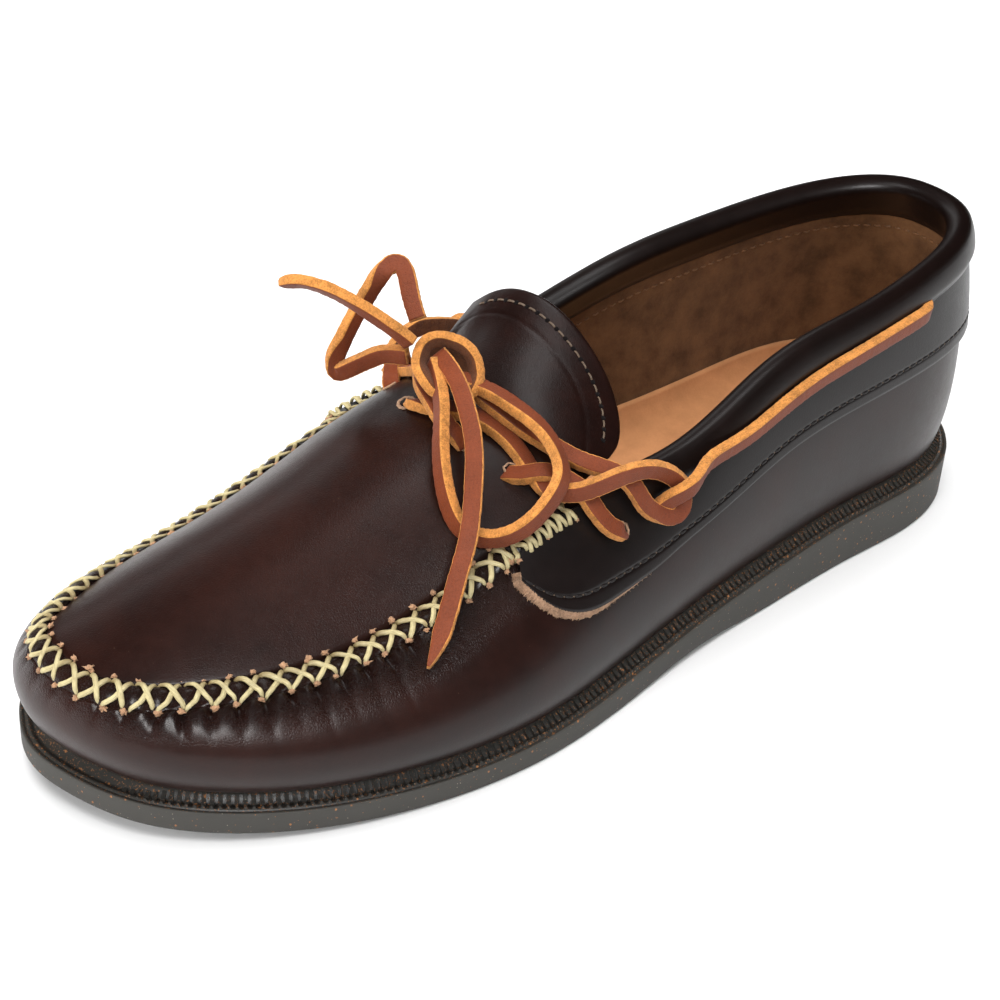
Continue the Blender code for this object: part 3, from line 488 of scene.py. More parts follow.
def height_below_top(row, depth):
    """Height of the wall this many millimetres below its top edge."""
    return 1.0 - depth / wall_speed(row)


def by_row(values):
    """Value for any ring row of a table that runs from the toe to the throat."""
    curve = open_spline(np.array(values, dtype=float)[:, None])

    def evaluate(row):
        return curve(np.minimum(np.abs(off_toe(row)), THROAT_ROW) / THROAT_ROW)[..., 0]

    return evaluate


lower_hole_depth = by_row(LOWER_HOLES)
upper_hole_inset = by_row(UPPER_HOLES)


def ridge_profile(inside):
    """Height of the ridge over the wall's top edge, this far inside of it."""
    shifts = np.linspace(-RIDGE_ROUNDING, RIDGE_ROUNDING, 7)
    total = 0.0
    for shift in shifts:
        total = total + np.interp(inside + shift, *zip(*RIDGE_SHAPE))
    return total / len(shifts)


def ridge_line_at(row, inside):
    """Point of the apron seam's ridge, this far inside of the wall's top edge."""
    row, inside = matched(row, inside)
    inward = with_z(-plan_normal(top_edge, row), 0.0)
    rise = ridge_profile(inside) - ridge_profile(0.0) * ease(1.5 - inside, 0.0, 1.5)
    return top_edge(row) + inward * inside[..., None] + rise[..., None] * UP


# ---------------------------------------------------------------- seam stations
def seam_stations():
    """Rows of the seam's holes on the outer side, from the middle of the toe to the throat."""
    rows = np.linspace(0.0, THROAT_ROW, 3000)
    reach = run_of(top_edge(rows))
    places = [0.0]
    wide = bpy.context.scene.moccasin_shape.stitch_pitch / MM
    for pitch, rest in ((wide, CLOSE_RUN), (CLOSE_PITCH * wide, SEAM_REST)):
        while places[-1] + pitch < reach[-1] - rest:
            places.append(places[-1] + pitch)
    return np.interp(places, reach, rows)


def station_of(row):
    """How many holes a row of the ring is away from the toe."""
    stations = seam_stations()
    rows = off_toe(row)
    count = np.interp(np.abs(rows), stations, np.arange(len(stations)))
    past = np.maximum(np.abs(rows) - stations[-1], 0.0) * STATIONS_PER_ROW
    return np.sign(rows) * (count + past)


def row_of(station):
    """Ring row of a hole that is counted from the toe, or of a place between two holes."""
    stations = seam_stations()
    station = np.asarray(station, dtype=float)
    return np.sign(station) * np.interp(np.abs(station), np.arange(len(stations)), stations)


def seam_fade(row):
    """1 along the sewn seam, 0 at the quarters."""
    return 1.0 - ease(np.abs(off_toe(row)), *SEAM_END_ROWS)


def seam_band(row, across):
    """The seam's ridge without its puffs: 0 at the lower holes, 1 at the upper holes."""
    row, across = matched(row, across)
    depth = lower_hole_depth(row)
    inset = RIDGE_WIDTH / 2.0 + upper_hole_inset(row)
    place = across * (depth + inset) - depth
    below = wall(row, height_below_top(row, np.maximum(-place, 0.0)))
    above = ridge_line_at(row, np.maximum(place, 0.0))
    over = (place > 0.0)[..., None]
    plain = wall(row, height_below_top(row, depth * (1.0 - across)))
    seam = np.where(over, above, below)
    share = seam_fade(row)[..., None]
    return share * seam + (1.0 - share) * plain


def surface_normals(points):
    """Normals of a grid of points, pointing to the right of its first direction."""
    first = np.gradient(points, axis=0)
    second = np.gradient(points, axis=1)
    return unit_vectors(np.cross(first, second))


def seam_normal(row, across):
    """Outward normals of the seam's ridge."""
    along = seam_band(row + 0.03, across) - seam_band(row - 0.03, across)
    higher = seam_band(row, np.minimum(across + 0.12, 1.0))
    lower = seam_band(row, np.maximum(across - 0.12, 0.0))
    return unit_vectors(np.cross(along, higher - lower))


def pillow(row, across):
    """How far the leather puffs out between the crossing threads."""
    shape = bpy.context.scene.moccasin_shape
    phase = station_of(row)
    cell = 0.5 + 0.5 * np.cos(2.0 * math.pi * phase)
    across = np.clip(across, 0.0, 1.0)
    crown = np.sin(math.pi * across ** 0.8) ** (0.7 + 0.8 * across)
    return seam_fade(row) * shape.pillow_height / MM * crown * (0.35 + 0.65 * cell ** 0.7)


def seam_surface(row, across):
    """The seam's ridge with its puffed pillows."""
    row, across = matched(row, across)
    return seam_band(row, across) + pillow(row, across)[..., None] * seam_normal(row, across)


def gathers(row, depth):
    """Pleats of the wrap below the seam: they start at the lower holes and fade downwards."""
    shape = bpy.context.scene.moccasin_shape
    phase = station_of(row)
    off_hole = np.abs(phase - np.round(phase))
    strength = 0.35 + 0.65 * ease(np.abs(phase), 1.0, 7.0)
    strength = strength * (1.0 - 0.9 * ease(np.abs(phase), 13.0, 17.5))
    wander = 0.75 + 0.25 * np.sin(2.3 * np.round(phase) + 0.7)
    groove = np.exp(-(off_hole / 0.15) ** 2) * np.exp(-depth / (4.6 * wander))
    puff = np.sin(math.pi * np.clip(off_hole * 2.0, 0.0, 1.0) * 0.5) * np.exp(-(depth / PLEAT_RUN) ** 2)
    ripple = np.sin(2.0 * math.pi * (2.0 * phase + 0.13 * depth * np.sin(1.7 * np.round(phase))) + 0.8)
    ripple = ripple * np.exp(-(depth / (4.5 * wander)) ** 2) * 0.16
    lift = shape.gather_depth / MM * strength * (0.5 * puff - groove + ripple)
    return seam_fade(row) * lift * ease(np.asarray(depth), -0.2, 0.6)


# ---------------------------------------------------------------- meshes
def in_frame(points):
    """Table millimetres to metres in the part's frame."""
    return (np.asarray(points, dtype=float) + (-LENGTH / 2.0, AXIS_Y, 0.0)) * MM


def grid_faces(lines, width, closed=False):
    """Quads of a grid of lines by width points."""
    last = lines if closed else lines - 1
    here = (np.arange(last)[:, None] * width + np.arange(width - 1)[None, :]).ravel()
    beside = ((np.arange(last)[:, None] + 1) % lines * width + np.arange(width - 1)[None, :]).ravel()
    return np.stack([here, beside, beside + 1, here + 1], -1)


def ring_faces(lines, count):
    """Quads of closed rings of count points, stacked on each other."""
    start = np.arange(lines - 1) * count
    joins = np.stack([start + count - 1, start + 2 * count - 1, start + count, start], -1)
    return np.concatenate([grid_faces(lines, count), joins])[:, ::-1]


def make_piece(name, points, faces, finishes, which=None, marks=None, smooth=True):
    """Mesh object from table points.  which gives each face its finish, marks are numbers
    kept on the points for the finishes to read."""
    mesh = bpy.data.meshes.new(name)
    mesh.from_pydata([tuple(p) for p in in_frame(points)], [], [tuple(f) for f in faces])
    for finish in finishes:
        mesh.materials.append(finish)
    if which is not None:
        mesh.polygons.foreach_set("material_index", np.asarray(which, dtype=np.int32))
    for mark, values in (marks or {}).items():
        layer = mesh.attributes.new(mark, "FLOAT", "POINT")
        layer.data.foreach_set("value", np.asarray(values, dtype=np.float32).ravel())
    if smooth:
        mesh.shade_smooth()
    mesh.update()
    piece = bpy.data.objects.new(name, mesh)
    bpy.context.scene.collection.objects.link(piece)
    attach(piece, "root")
    return piece


def grid_piece(name, points, finish, closed=False, marks=None, flip=False):
    """Mesh object from a grid of points; closed joins its last line to the first."""
    faces = grid_faces(points.shape[0], points.shape[1], closed)
    if flip:
        faces = faces[:, ::-1]
    return make_piece(name, points.reshape(-1, 3), faces, [finish], marks=marks)


def even_marks(points, gather, warmth):
    """The marks of pull-up leather, the same all over a grid of points."""
    return {"gather": np.full(points.shape[:2], gather), "warmth": np.full(points.shape[:2], warmth)}


def rounded_strap(width, thickness, corner):
    """Outline of a strap across its run, and the side that each point begins: 0 is the grain
    face, 1 a cut edge, 2 the flesh face."""
    half_w, half_t = width / 2.0, thickness / 2.0
    cut = 0.3 * corner
    face = [(share * (half_w - corner), half_t) for share in np.linspace(-1.0, 1.0, 5)]
    edge = [(half_w, share * (half_t - corner)) for share in np.linspace(1.0, -1.0, 4)]
    half = np.array([*face, (half_w - cut, half_t - cut), *edge, (half_w - cut, cut - half_t)])
    return np.concatenate([half, -half]), [0] * 5 + [1] * 6 + [2] * 5 + [1] * 6


def oval(width, thickness, count):
    """Outline of a thread or fibre across its run."""
    turn = 2.0 * math.pi * np.arange(count) / count
    return np.stack([width / 2.0 * np.cos(turn), thickness / 2.0 * np.sin(turn)], -1)


def sweep(line, facing, outline, scale=None):
    """Rings of an outline along a line.  Its first axis lies across, its second along facing."""
    along = unit_vectors(np.gradient(line, axis=0))
    up = unit_vectors(facing - (facing * along).sum(-1, keepdims=True) * along)
    across = np.cross(along, up)
    shape = np.broadcast_to(outline, (len(line),) + outline.shape)
    if scale is not None:
        shape = shape * np.asarray(scale)[:, None, :]
    return (line[:, None, :] + shape[..., 0:1] * across[:, None, :]
            + shape[..., 1:2] * up[:, None, :])


def tube_faces(rings, sides):
    """Quads and end caps of a closed tube."""
    faces = []
    for ring in range(rings - 1):
        for corner in range(sides):
            here = ring * sides + corner
            beside = ring * sides + (corner + 1) % sides
            faces.append((here, beside, beside + sides, here + sides))
    last = (rings - 1) * sides
    faces.append(tuple(range(sides - 1, -1, -1)))
    faces.append(tuple(range(last, last + sides)))
    return faces


class Heap:
    """Collects many small closed forms into one mesh."""

    def __init__(self):
        self.points = []
        self.faces = []
        self.marks = {}
        self.count = 0

    def add(self, points, faces, **marks):
        """One more form; a mark is a number or one number for each point."""
        self.points.append(np.asarray(points).reshape(-1, 3))
        self.faces += [tuple(corner + self.count for corner in face) for face in faces]
        for name, value in marks.items():
            self.marks.setdefault(name, []).append(np.broadcast_to(value, len(self.points[-1])))
        self.count += len(self.points[-1])

    def tube(self, line, facing, outline, scale=None, **marks):
        """Form swept along a line; marks along runs in millimetres, round goes 0 to 1 to 0."""
        rings = sweep(line, facing, outline, scale)
        sides = len(outline)
        reach = np.repeat(run_of(line), sides)
        turn = np.tile(np.abs(2.0 * np.arange(sides) / sides - 1.0), len(line))
        self.add(rings, tube_faces(len(line), sides), along=reach, round=turn, **marks)

    def piece(self, name, finish, smooth=True):
        """All forms as one mesh object."""
        marks = {mark: np.concatenate(values) for mark, values in self.marks.items()}
        points = np.concatenate(self.points)
        return make_piece(name, points, self.faces, [finish], marks=marks, smooth=smooth)


def crumb_forms(seed, count):
    """Small ragged stars of raw leather, each as points round the origin with its faces."""
    chance = np.random.default_rng(seed)
    work = bmesh.new()
    bmesh.ops.create_icosphere(work, subdivisions=3, radius=1.0)
    ball = np.array([tuple(v.co) for v in work.verts])
    faces = [tuple(v.index for v in f.verts) for f in work.faces]
    work.free()
    forms = []
    for _ in range(count):
        radius = 0.56 + 0.12 * chance.standard_normal(len(ball))
        for _ in range(16):
            lean = unit_vectors(chance.standard_normal(3) * (1.0, 1.0, 0.7))
            radius = radius + chance.uniform(0.1, 0.6) * np.maximum(ball @ lean, 0.0) ** 40
        forms.append(ball * radius[:, None])
    return forms, faces


# ---------------------------------------------------------------- finishes
class Value:
    """One output of a finish's nodes; sums on values read as sums and add Math nodes."""

    def __init__(self, finish, socket):
        self.finish = finish
        self.socket = socket

    def _sum(self, operation, first, second):
        return self.finish.node("ShaderNodeMath", {"operation": operation}, {0: first, 1: second})

    def __add__(self, other):
        return self._sum("ADD", self, other)

    def __sub__(self, other):
        return self._sum("SUBTRACT", self, other)

    def __rsub__(self, other):
        return self._sum("SUBTRACT", other, self)

    def __mul__(self, other):
        return self._sum("MULTIPLY", self, other)

    def __pow__(self, other):
        return self._sum("POWER", self, other)

    def __rpow__(self, other):
        return self._sum("POWER", other, self)

    __radd__ = __add__
    __rmul__ = __mul__

    def clamp(self):
        return self.finish.node("ShaderNodeClamp", {}, {"Value": self})

    def step(self, low, high):
        """0 below low, 1 above high, straight in between."""
        return ((self - low) * (1.0 / (high - low))).clamp()


class Nodes:
    """A node tree whose nodes all come from one method."""

    def __init__(self, tree):
        self.tree = tree

    def node(self, kind, settings, inputs, output=0):
        """A node of this type, its settings set first, then the values or links of its sockets."""
        made = self.tree.nodes.new(kind)
        for setting, value in settings.items():
            setattr(made, setting, value)
        for socket, value in inputs.items():
            if isinstance(value, Value):
                self.tree.links.new(value.socket, made.inputs[socket])
            else:
                made.inputs[socket].default_value = value
        return Value(self, made.outputs[output])


class Finish(Nodes):
    """A procedural finish: a principled surface and the nodes that vary it."""

    def __init__(self, name, **constants):
        self.material = bpy.data.materials.new(name)
        self.material.use_nodes = True
        super().__init__(self.material.node_tree)
        self.surface = self.tree.nodes["Principled BSDF"]
        for socket, value in constants.items():
            self.surface.inputs[socket.replace("_", " ")].default_value = value
        self.place = self.node("ShaderNodeTexCoord", {}, {}, output="Object")

    def feed(self, socket, value):
        """Link a value to a socket of the surface."""
        self.tree.links.new(value.socket, self.surface.inputs[socket])

    def mark(self, name):
        """A number kept on the mesh's points."""
        return self.node("ShaderNodeAttribute", {"attribute_name": name}, {}, output="Fac")

    def noise(self, size, detail=2.0, rough=0.5, stretch=None, place=None):
        """Cloudy noise from 0 to 1 whose lumps are this many millimetres across."""
        vector = place or self.place
        if stretch:
            vector = self.node("ShaderNodeVectorMath", {"operation": "MULTIPLY"},
                               {0: vector, 1: stretch})
        return self.node("ShaderNodeTexNoise", {}, {"Vector": vector, "Scale": 1.0 / (size * MM),
                                                    "Detail": detail, "Roughness": rough})

    def cells(self, size, feature="F1", output="Distance"):
        """Cells that are about this many millimetres across."""
        return self.node("ShaderNodeTexVoronoi", {"feature": feature},
                         {"Vector": self.place, "Scale": 1.0 / (size * MM)}, output=output)

    def mix(self, factor, first, second):
        """Blend of two colours."""
        return self.node("ShaderNodeMix", {"data_type": "RGBA"},
                         {0: factor, 6: self.colour(first), 7: self.colour(second)}, output=2)

    def colour(self, value):
        """A value as it is, or a plain colour as a socket holds it."""
        return value if isinstance(value, Value) else (*value[:3], 1.0)

    def bump(self, height, depth, under=None):
        """Relief of this many millimetres; under is a relief that it lies on."""
        inputs = {"Height": height, "Distance": depth * MM, "Strength": 1.0}
        if under is not None:
            inputs["Normal"] = under
        return self.node("ShaderNodeBump", {}, inputs)


def toned(colour, share):
    """The colour with its brightness multiplied."""
    return tuple(share * part for part in colour)


def pull_up_leather(name, tint, warm, dust=1.0):
    """Oiled leather, softly glossy, redder where it is stretched, with fine grain and pores.
    Marks: gather is 1 where it is pleated, warmth is 1 where it is pulled light."""
    leather = Finish(name, Coat_Roughness=0.26, Specular_IOR_Level=0.26)
    gather = leather.mark("gather")
    warmth = leather.mark("warmth")
    cloud = leather.noise(26.0, 3.0, 0.6)
    mottle = leather.noise(5.0, 4.0, 0.65)
    fine = leather.noise(0.7, 3.0, 0.6)
    red = (warmth * 0.9 + (cloud - 0.5) * 1.3 + (mottle - 0.5) * 0.7 + 0.12).step(0.0, 1.0)
    base = leather.mix(red, tint, warm)
    shade = leather.mix((fine - 0.5) * 0.5 + 0.25, base, toned(tint, 0.55))
    specks = leather.noise(0.62, 1.0, 0.5).step(0.80, 0.83) * dust
    leather.feed("Base Color", leather.mix(specks * 0.22, shade, (0.30, 0.20, 0.13)))
    rough = 0.39 + (mottle - 0.5) * 0.16 - gather * 0.16 + (fine - 0.5) * 0.1
    leather.feed("Roughness", rough.clamp())
    leather.feed("Coat Weight", gather * 0.4 + 0.14)
    pores = leather.cells(0.55).step(0.0, 0.35)
    crackle = leather.cells(0.62, feature="DISTANCE_TO_EDGE").step(0.0, 0.25)
    crease = leather.noise(1.2, 4.0, 0.75, stretch=(1.0, 1.0, 0.55))
    grain = leather.bump(pores * 0.5 + fine * 0.5, 0.03)
    folds = leather.bump((crackle * 0.5 + crease * 1.1) * gather, 1.1, grain)
    leather.feed("Normal", folds)
    return leather.material


def raw_leather(name, light, dark, fuzz):
    """Cut or unfinished leather: fibrous, matt and fuzzy."""
    raw = Finish(name, Specular_IOR_Level=0.12, Sheen_Weight=0.08, Sheen_Roughness=0.6)
    fibre = raw.noise(0.45, 4.0, 0.75)
    patch = raw.noise(3.0, 3.0, 0.6)
    tone = ((fibre - 0.5) * 3.0 + (patch - 0.5) * 2.0 + 0.6).clamp()
    raw.feed("Base Color", raw.mix(tone, dark, light))
    raw.feed("Roughness", (0.75 + fibre * 0.2).clamp())
    raw.feed("Normal", raw.bump(fibre, fuzz))
    return raw.material


def rawhide_grain(name, light, dark):
    """Face of the lace: red-brown with a fine pebble and paler rubbed spots."""
    hide = Finish(name, Specular_IOR_Level=0.28, Sheen_Weight=0.03, Sheen_Roughness=0.5)
    pebble = hide.cells(0.42).step(0.0, 0.5)
    fibre = hide.noise(0.5, 4.0, 0.7)
    patch = hide.noise(7.0, 2.0, 0.5)
    tone = (fibre - 0.5) * 1.8 + (patch - 0.5) + pebble * 0.25 + 0.42
    hide.feed("Base Color", hide.mix(tone.clamp(), dark, light))
    hide.feed("Roughness", (0.45 + fibre * 0.25).clamp())
    hide.feed("Normal", hide.bump(pebble * 0.6 + fibre * 0.4, 0.14))
    return hide.material


def waxed_thread(name, light, dirty):
    """Waxed linen: fibres run with the thread, stains lie at random, and it is darker towards the upper
    holes.
    Marks: along and round lie on the thread, ends is 1 at the upper hole."""
    thread = Finish(name, Specular_IOR_Level=0.5)
    along, turn = thread.mark("along"), thread.mark("round")
    lay = thread.node("ShaderNodeCombineXYZ", {}, {0: along * 0.45 + turn * 1.6, 1: turn * 7.0})
    strands = thread.node("ShaderNodeTexNoise", {}, {"Vector": lay, "Scale": 1.0, "Detail": 3.0,
                                                     "Roughness": 0.6})
    stain = thread.noise(2.2, 3.0, 0.6)
    tone = (stain * 1.1 - 0.25 + thread.mark("ends") * 0.55).step(0.2, 0.95)
    colour = thread.mix(tone, light, dirty)
    dark = strands.step(0.52, 0.7)
    thread.feed("Base Color", thread.mix(dark * 0.55, colour, toned(dirty, 0.45)))
    thread.feed("Roughness", (0.36 + strands * 0.25).clamp())
    thread.feed("Normal", thread.bump(strands, 0.16))
    return thread.material


def sole_rubber(name, tint, fleck_warm, fleck_pale):
    """Cork and rubber: grey, matt, with fine warm and pale flecks.
    Mark: 1 on the ledge, where the rubber is darker and glossier, with grit."""
    rubber = Finish(name, Specular_IOR_Level=0.4)
    wear = rubber.mark("wear")
    cloud = rubber.noise(9.0, 3.0, 0.6)
    fine = rubber.noise(0.6, 3.0, 0.6)
    ragged = rubber.noise(0.35, 2.0, 0.7) * 0.3

    def flecks(size, radius, rare):
        """Specks in cells of this size; rare is the share of cells that stay empty."""
        chance = rubber.node("ShaderNodeSeparateColor", {}, {0: rubber.cells(size, output="Color")})
        near = 1.0 - (rubber.cells(size) + ragged).step(radius, radius + 0.08)
        return near * chance.step(rare, rare + 0.01)

    base = rubber.mix((cloud * 0.6 + fine * 0.4).clamp(), toned(tint, 0.72), tint)
    base = rubber.mix(wear * 0.55, base, toned(tint, 0.35))
    warm = (flecks(1.9, 0.27, 0.62) + flecks(0.8, 0.24, 0.80)).clamp()
    colour = rubber.mix(warm * 0.75, base, fleck_warm)
    colour = rubber.mix(flecks(0.9, 0.22, 0.78) * 0.8, colour, fleck_pale)
    grit = (rubber.noise(0.55, 2.0, 0.7).step(0.60, 0.66) * wear).clamp()
    rubber.feed("Base Color", rubber.mix(grit * 0.6, colour, fleck_warm))
    rubber.feed("Roughness", (0.58 + fine * 0.2 - wear * 0.28).clamp())
    rubber.feed("Normal", rubber.bump(fine * 0.5 + cloud * 0.5 + grit * 0.4, 0.06))
    return rubber.material


def suede(name, light, dark, nap=0.2):
    """Brushed leather of lining or sock, with a soft uneven nap."""
    cloth = Finish(name, Specular_IOR_Level=0.08, Sheen_Weight=0.06, Sheen_Roughness=0.5)
    patch = cloth.noise(9.0, 4.0, 0.62)
    fibre = cloth.noise(0.6, 4.0, 0.75)
    tone = ((patch - 0.5) * 2.4 + fibre * 0.6 + 0.2).clamp()
    cloth.feed("Base Color", cloth.mix(tone, dark, light))
    cloth.feed("Roughness", (0.8 + fibre * 0.15).clamp())
    cloth.feed("Normal", cloth.bump(fibre, nap))
    return cloth.material


def plain_paint(name, tint, roughness):
    """Matt studio floor with a hardly visible grain."""
    paint = Finish(name, Specular_IOR_Level=0.1, Roughness=roughness)
    paint.feed("Base Color", paint.mix(paint.noise(400.0, 2.0, 0.5) * 0.04, tint, toned(tint, 0.97)))
    return paint.material


def finish(key):
    """The finish of that name, made once."""
    if key in bpy.data.materials:
        return bpy.data.materials[key]
    tint = bpy.context.scene.moccasin_colours
    flesh = tint.lace_flesh
    makers = {
        "wrap leather": (pull_up_leather, tint.leather, tint.leather_warm),
        "plug leather": (pull_up_leather, tint.leather, tint.leather_warm),
        "overlay leather": (pull_up_leather, tint.overlay, tint.overlay_warm, 0.5),
        "collar leather": (pull_up_leather, tint.collar, tint.leather, 0.2),
        "raw edge": (raw_leather, tint.raw_edge, toned(tint.raw_edge, 0.45), 0.35),
        "crumb leather": (raw_leather, tint.crumb, toned(tint.crumb, 0.5), 0.3),
        "waxed thread": (waxed_thread, tint.thread, tint.thread_stain),
        "fine thread": (waxed_thread, tint.fine_thread, toned(tint.fine_thread, 0.6)),
        "lining thread": (waxed_thread, toned(tint.lining, 2.2), tint.lining),
        "dark thread": (waxed_thread, tint.overlay, tint.overlay),
        "lace grain": (rawhide_grain, tint.lace_grain, toned(tint.lace_grain, 0.55)),
        "lace edge": (raw_leather, tint.lace_edge, toned(tint.lace_edge, 0.42), 0.25),
        "lace flesh": (raw_leather, flesh, toned(flesh, 0.5), 0.25),
        # Lace flesh darkened: painted shade in the knot's middle
        "lace core": (raw_leather, toned(flesh, 0.45), toned(flesh, 0.2), 0.25),
        "sole": (sole_rubber, tint.sole, tint.fleck_warm, tint.fleck_pale),
        "lining": (suede, tint.lining, toned(tint.lining, 0.42)),
        "sock": (suede, tint.sock, toned(tint.sock, 0.75), 0.1),
        "studio floor": (plain_paint, tint.floor, 0.9),
        # Near black: painted shade inside the punched holes
        "hole": (suede, (0.006, 0.004, 0.004), (0.003, 0.002, 0.002)),
    }
    if key not in makers:
        raise ValueError(f"no finish is called {key}")
    maker, *looks = makers[key]
    return maker(key, *looks)


# ---------------------------------------------------------------- sole
def mid_wall_z(x):
    """Halfway up the sole's side wall."""
    return 0.5 * (tread_z(x) + wall_z(x))


# Half section of the sole from the tread to the seat: distance inside of its edge, the height it
# counts from, height over that, and how much of the ledge's darker, glossier, gritty look it takes
SOLE_SECTION = [
    (LEDGE_WIDTH + 1.0, tread_z, 1.2, 0.0), (TREAD_BEVEL + 5.0, tread_z, 0.0, 0.0),
    (TREAD_BEVEL, tread_z, 0.0, 0.0), (0.25, tread_z, 0.3, 0.0), (0.0, tread_z, TREAD_BEVEL, 0.0),
    (0.0, tread_z, 2.0, 0.0), (0.0, mid_wall_z, 0.0, 0.0), (0.0, wall_z, -1.6, 0.0),
    (0.0, wall_z, -0.35, 0.0), (0.08, wall_z, -0.1, 0.1), (0.25, wall_z, 0.0, 0.3),
    (0.90, wall_z, 0.05, 1.0), (1.02, wall_z, -0.4, 1.0), (1.22, wall_z, -0.4, 1.0),
    (1.34, wall_z, 0.1, 1.0), (2.40, wall_z, 0.2, 1.0), (2.60, wall_z, -0.2, 1.0),
    (3.60, wall_z, 0.2, 1.0), (4.60, wall_z, 1.5, 1.0), (5.20, wall_z, 2.2, 1.0),
    (6.00, seat_z, -0.1, 1.0),
]
# Distance inside of the sole's edge and height of a comb rib, and of the pyramid before it
RIB = np.array([(2.55, -0.2), (2.55, 0.95), (3.40, 1.35), (4.90, 2.3), (4.90, -0.2)])
PYRAMID = np.array([(1.34, -0.1), (1.34, -0.1), (2.42, -0.1), (2.42, -0.1), (1.8, 1.0)])
# Half their widths along the ledge, as shares of a rib's pitch
RIB_HALF = 0.27
PYRAMID_HALF = 0.42


def build_sole():
    """Replaces the outsole: tread, smooth side wall, crisp rim and the seat under the upper."""
    count = 900
    ring_rows, reach = ring_run(sole_edge)
    rows = np.interp(np.arange(count) / count, reach / reach[-1], ring_rows)
    rings = []
    for inset, height, push, _ in SOLE_SECTION:
        plan = inset_edge(rows, inset)
        rings.append(with_z(plan, height(plan[:, 0]) + push))
    closing = []
    top = (len(rings) - 1) * count
    for column in range(count // 2 - 1):
        corners = (column, column + 1, count - column - 2, count - column - 1)
        closing.append(corners)
        closing.append(tuple(top + corner for corner in corners[::-1]))
    faces = [*ring_faces(len(rings), count), *closing]
    wear = np.repeat([line[3] for line in SOLE_SECTION], count)
    sole = make_piece("sole", np.concatenate(rings), faces, [finish("sole")], marks={"wear": wear})
    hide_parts("outsole")
    build_ledge()
    build_tread()


def build_ledge():
    """Comb ribs of the ledge, each with a small pyramid before it, fading out at the toe."""
    ring_rows, reach = ring_run(sole_edge)
    count = int(round(reach[-1] * MM / bpy.context.scene.moccasin_shape.rib_pitch))
    share = reach / reach[-1]
    chance = np.random.default_rng(3)
    heap = Heap()

    def corners(places, insets, heights):
        plan = inset_edge(np.interp(places / count % 1.0, share, ring_rows), insets)
        return with_z(plan, wall_z(plan[:, 0]) + heights)

    for number in range(count):
        x = sole_edge(np.interp(number / count, share, ring_rows))[0]
        fade = float(ease(x, 3.0, 20.0))
        if fade < 0.2:
            continue
        rise = fade * chance.uniform(0.86, 1.06)
        sides = [corners(np.full(5, number + side), RIB[:, 0], RIB[:, 1] * rise)
                 for side in (-RIB_HALF, RIB_HALF)]
        heap.add(np.stack(sides), tube_faces(2, 5), wear=1.0)
        places = number + PYRAMID_HALF * np.array((-1.0, 1.0, 1.0, -1.0, 0.0))
        base = corners(places, PYRAMID[:, 0], PYRAMID[:, 1] * (1.0, 1.0, 1.0, 1.0, rise))
        heap.add(base, [(0, 4, 1), (1, 4, 2), (2, 4, 3), (3, 4, 0), (0, 1, 2, 3)], wear=0.85)
    heap.piece("ledge_ribs", finish("sole"), smooth=False)


def build_tread():
    """Fine wavy siping across the tread: shallow ribs joined into one mesh."""
    pitch, swing, wave, margin = 3.4, 0.9, 8.0, 5.0
    heap = Heap()
    rows = np.linspace(0.0, HEEL_ROW, 600)
    outer, inner = sole_edge(rows), sole_edge(RING - rows)
    for x in np.arange(12.0, LENGTH - 9.0, pitch):
        y = np.arange(np.interp(x, *outer.T) + margin, np.interp(x, *inner.T) - margin, 1.2)
        if len(y) < 4:
            continue
        place = x + swing * np.sin(2.0 * math.pi * y / wave)
        line = np.stack([place, y, tread_z(place) + 0.22], -1)
        heap.tube(line, np.tile(UP, (len(line), 1)), oval(1.1, 0.5, 6), wear=0.0)
    heap.piece("tread", finish("sole"))


# ---------------------------------------------------------------- wrap and seam
def wrap_columns():
    """Rows of the wrap, close together along the sewn seam and wider at the quarters."""
    end = SEAM_END_ROWS[1]
    front = by_length(top_edge, -end, end, 0.62)
    back = by_length(top_edge, end, RING - end, 1.4)
    return np.concatenate([front, back[1:-1]])


def build_wrap():
    """Replaces the upper's side: the wall, its gathers and the puffed seam ridge in one skin."""
    rows = wrap_columns()[:, None]
    sewn = seam_fade(rows)
    levels = np.concatenate([np.linspace(0.0, 0.82, 30), np.linspace(0.84, 1.0, 20)])[None, :]
    hole_height = height_below_top(rows, lower_hole_depth(rows))
    height = levels * hole_height
    normal, _ = wall_frame(rows, height)
    depth = (1.0 - levels) * hole_height * WRAP_RUN
    tuck = ease(0.035 - levels, 0.0, 0.035) * 0.5
    skin = wall(rows, height) + (gathers(rows, depth) - tuck)[..., None] * normal
    across = np.linspace(0.06, 1.0, 16)[None, :]
    ridge = seam_surface(rows, across)
    dip = ease(across, 0.9, 1.0) * sewn * 0.5
    ridge = ridge - dip[..., None] * seam_normal(rows, across)
    points = np.concatenate([skin, ridge], 1)
    station = np.abs(station_of(rows))
    toe = ease(station, 2.0, 6.0) * (1.0 - 0.9 * ease(station, 14.0, 19.0))
    pleat = np.exp(-(depth / PLEAT_RUN) ** 2) * sewn * (0.3 + 0.7 * toe)
    gather = np.concatenate([pleat, np.broadcast_to(0.5 * sewn, ridge.shape[:2])], 1)
    front = 1.0 - ease(points[..., 0], 60.0, 120.0)
    bulge = np.exp(-((points[..., 2] - 28.0) / 9.0) ** 2)
    warmth = front * (0.15 + 0.5 * bulge) * (1.0 - 0.4 * gather)
    wrap = grid_piece("wrap", points, finish("wrap leather"), closed=True,
                      marks={"gather": gather, "warmth": warmth})
    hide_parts("upper")


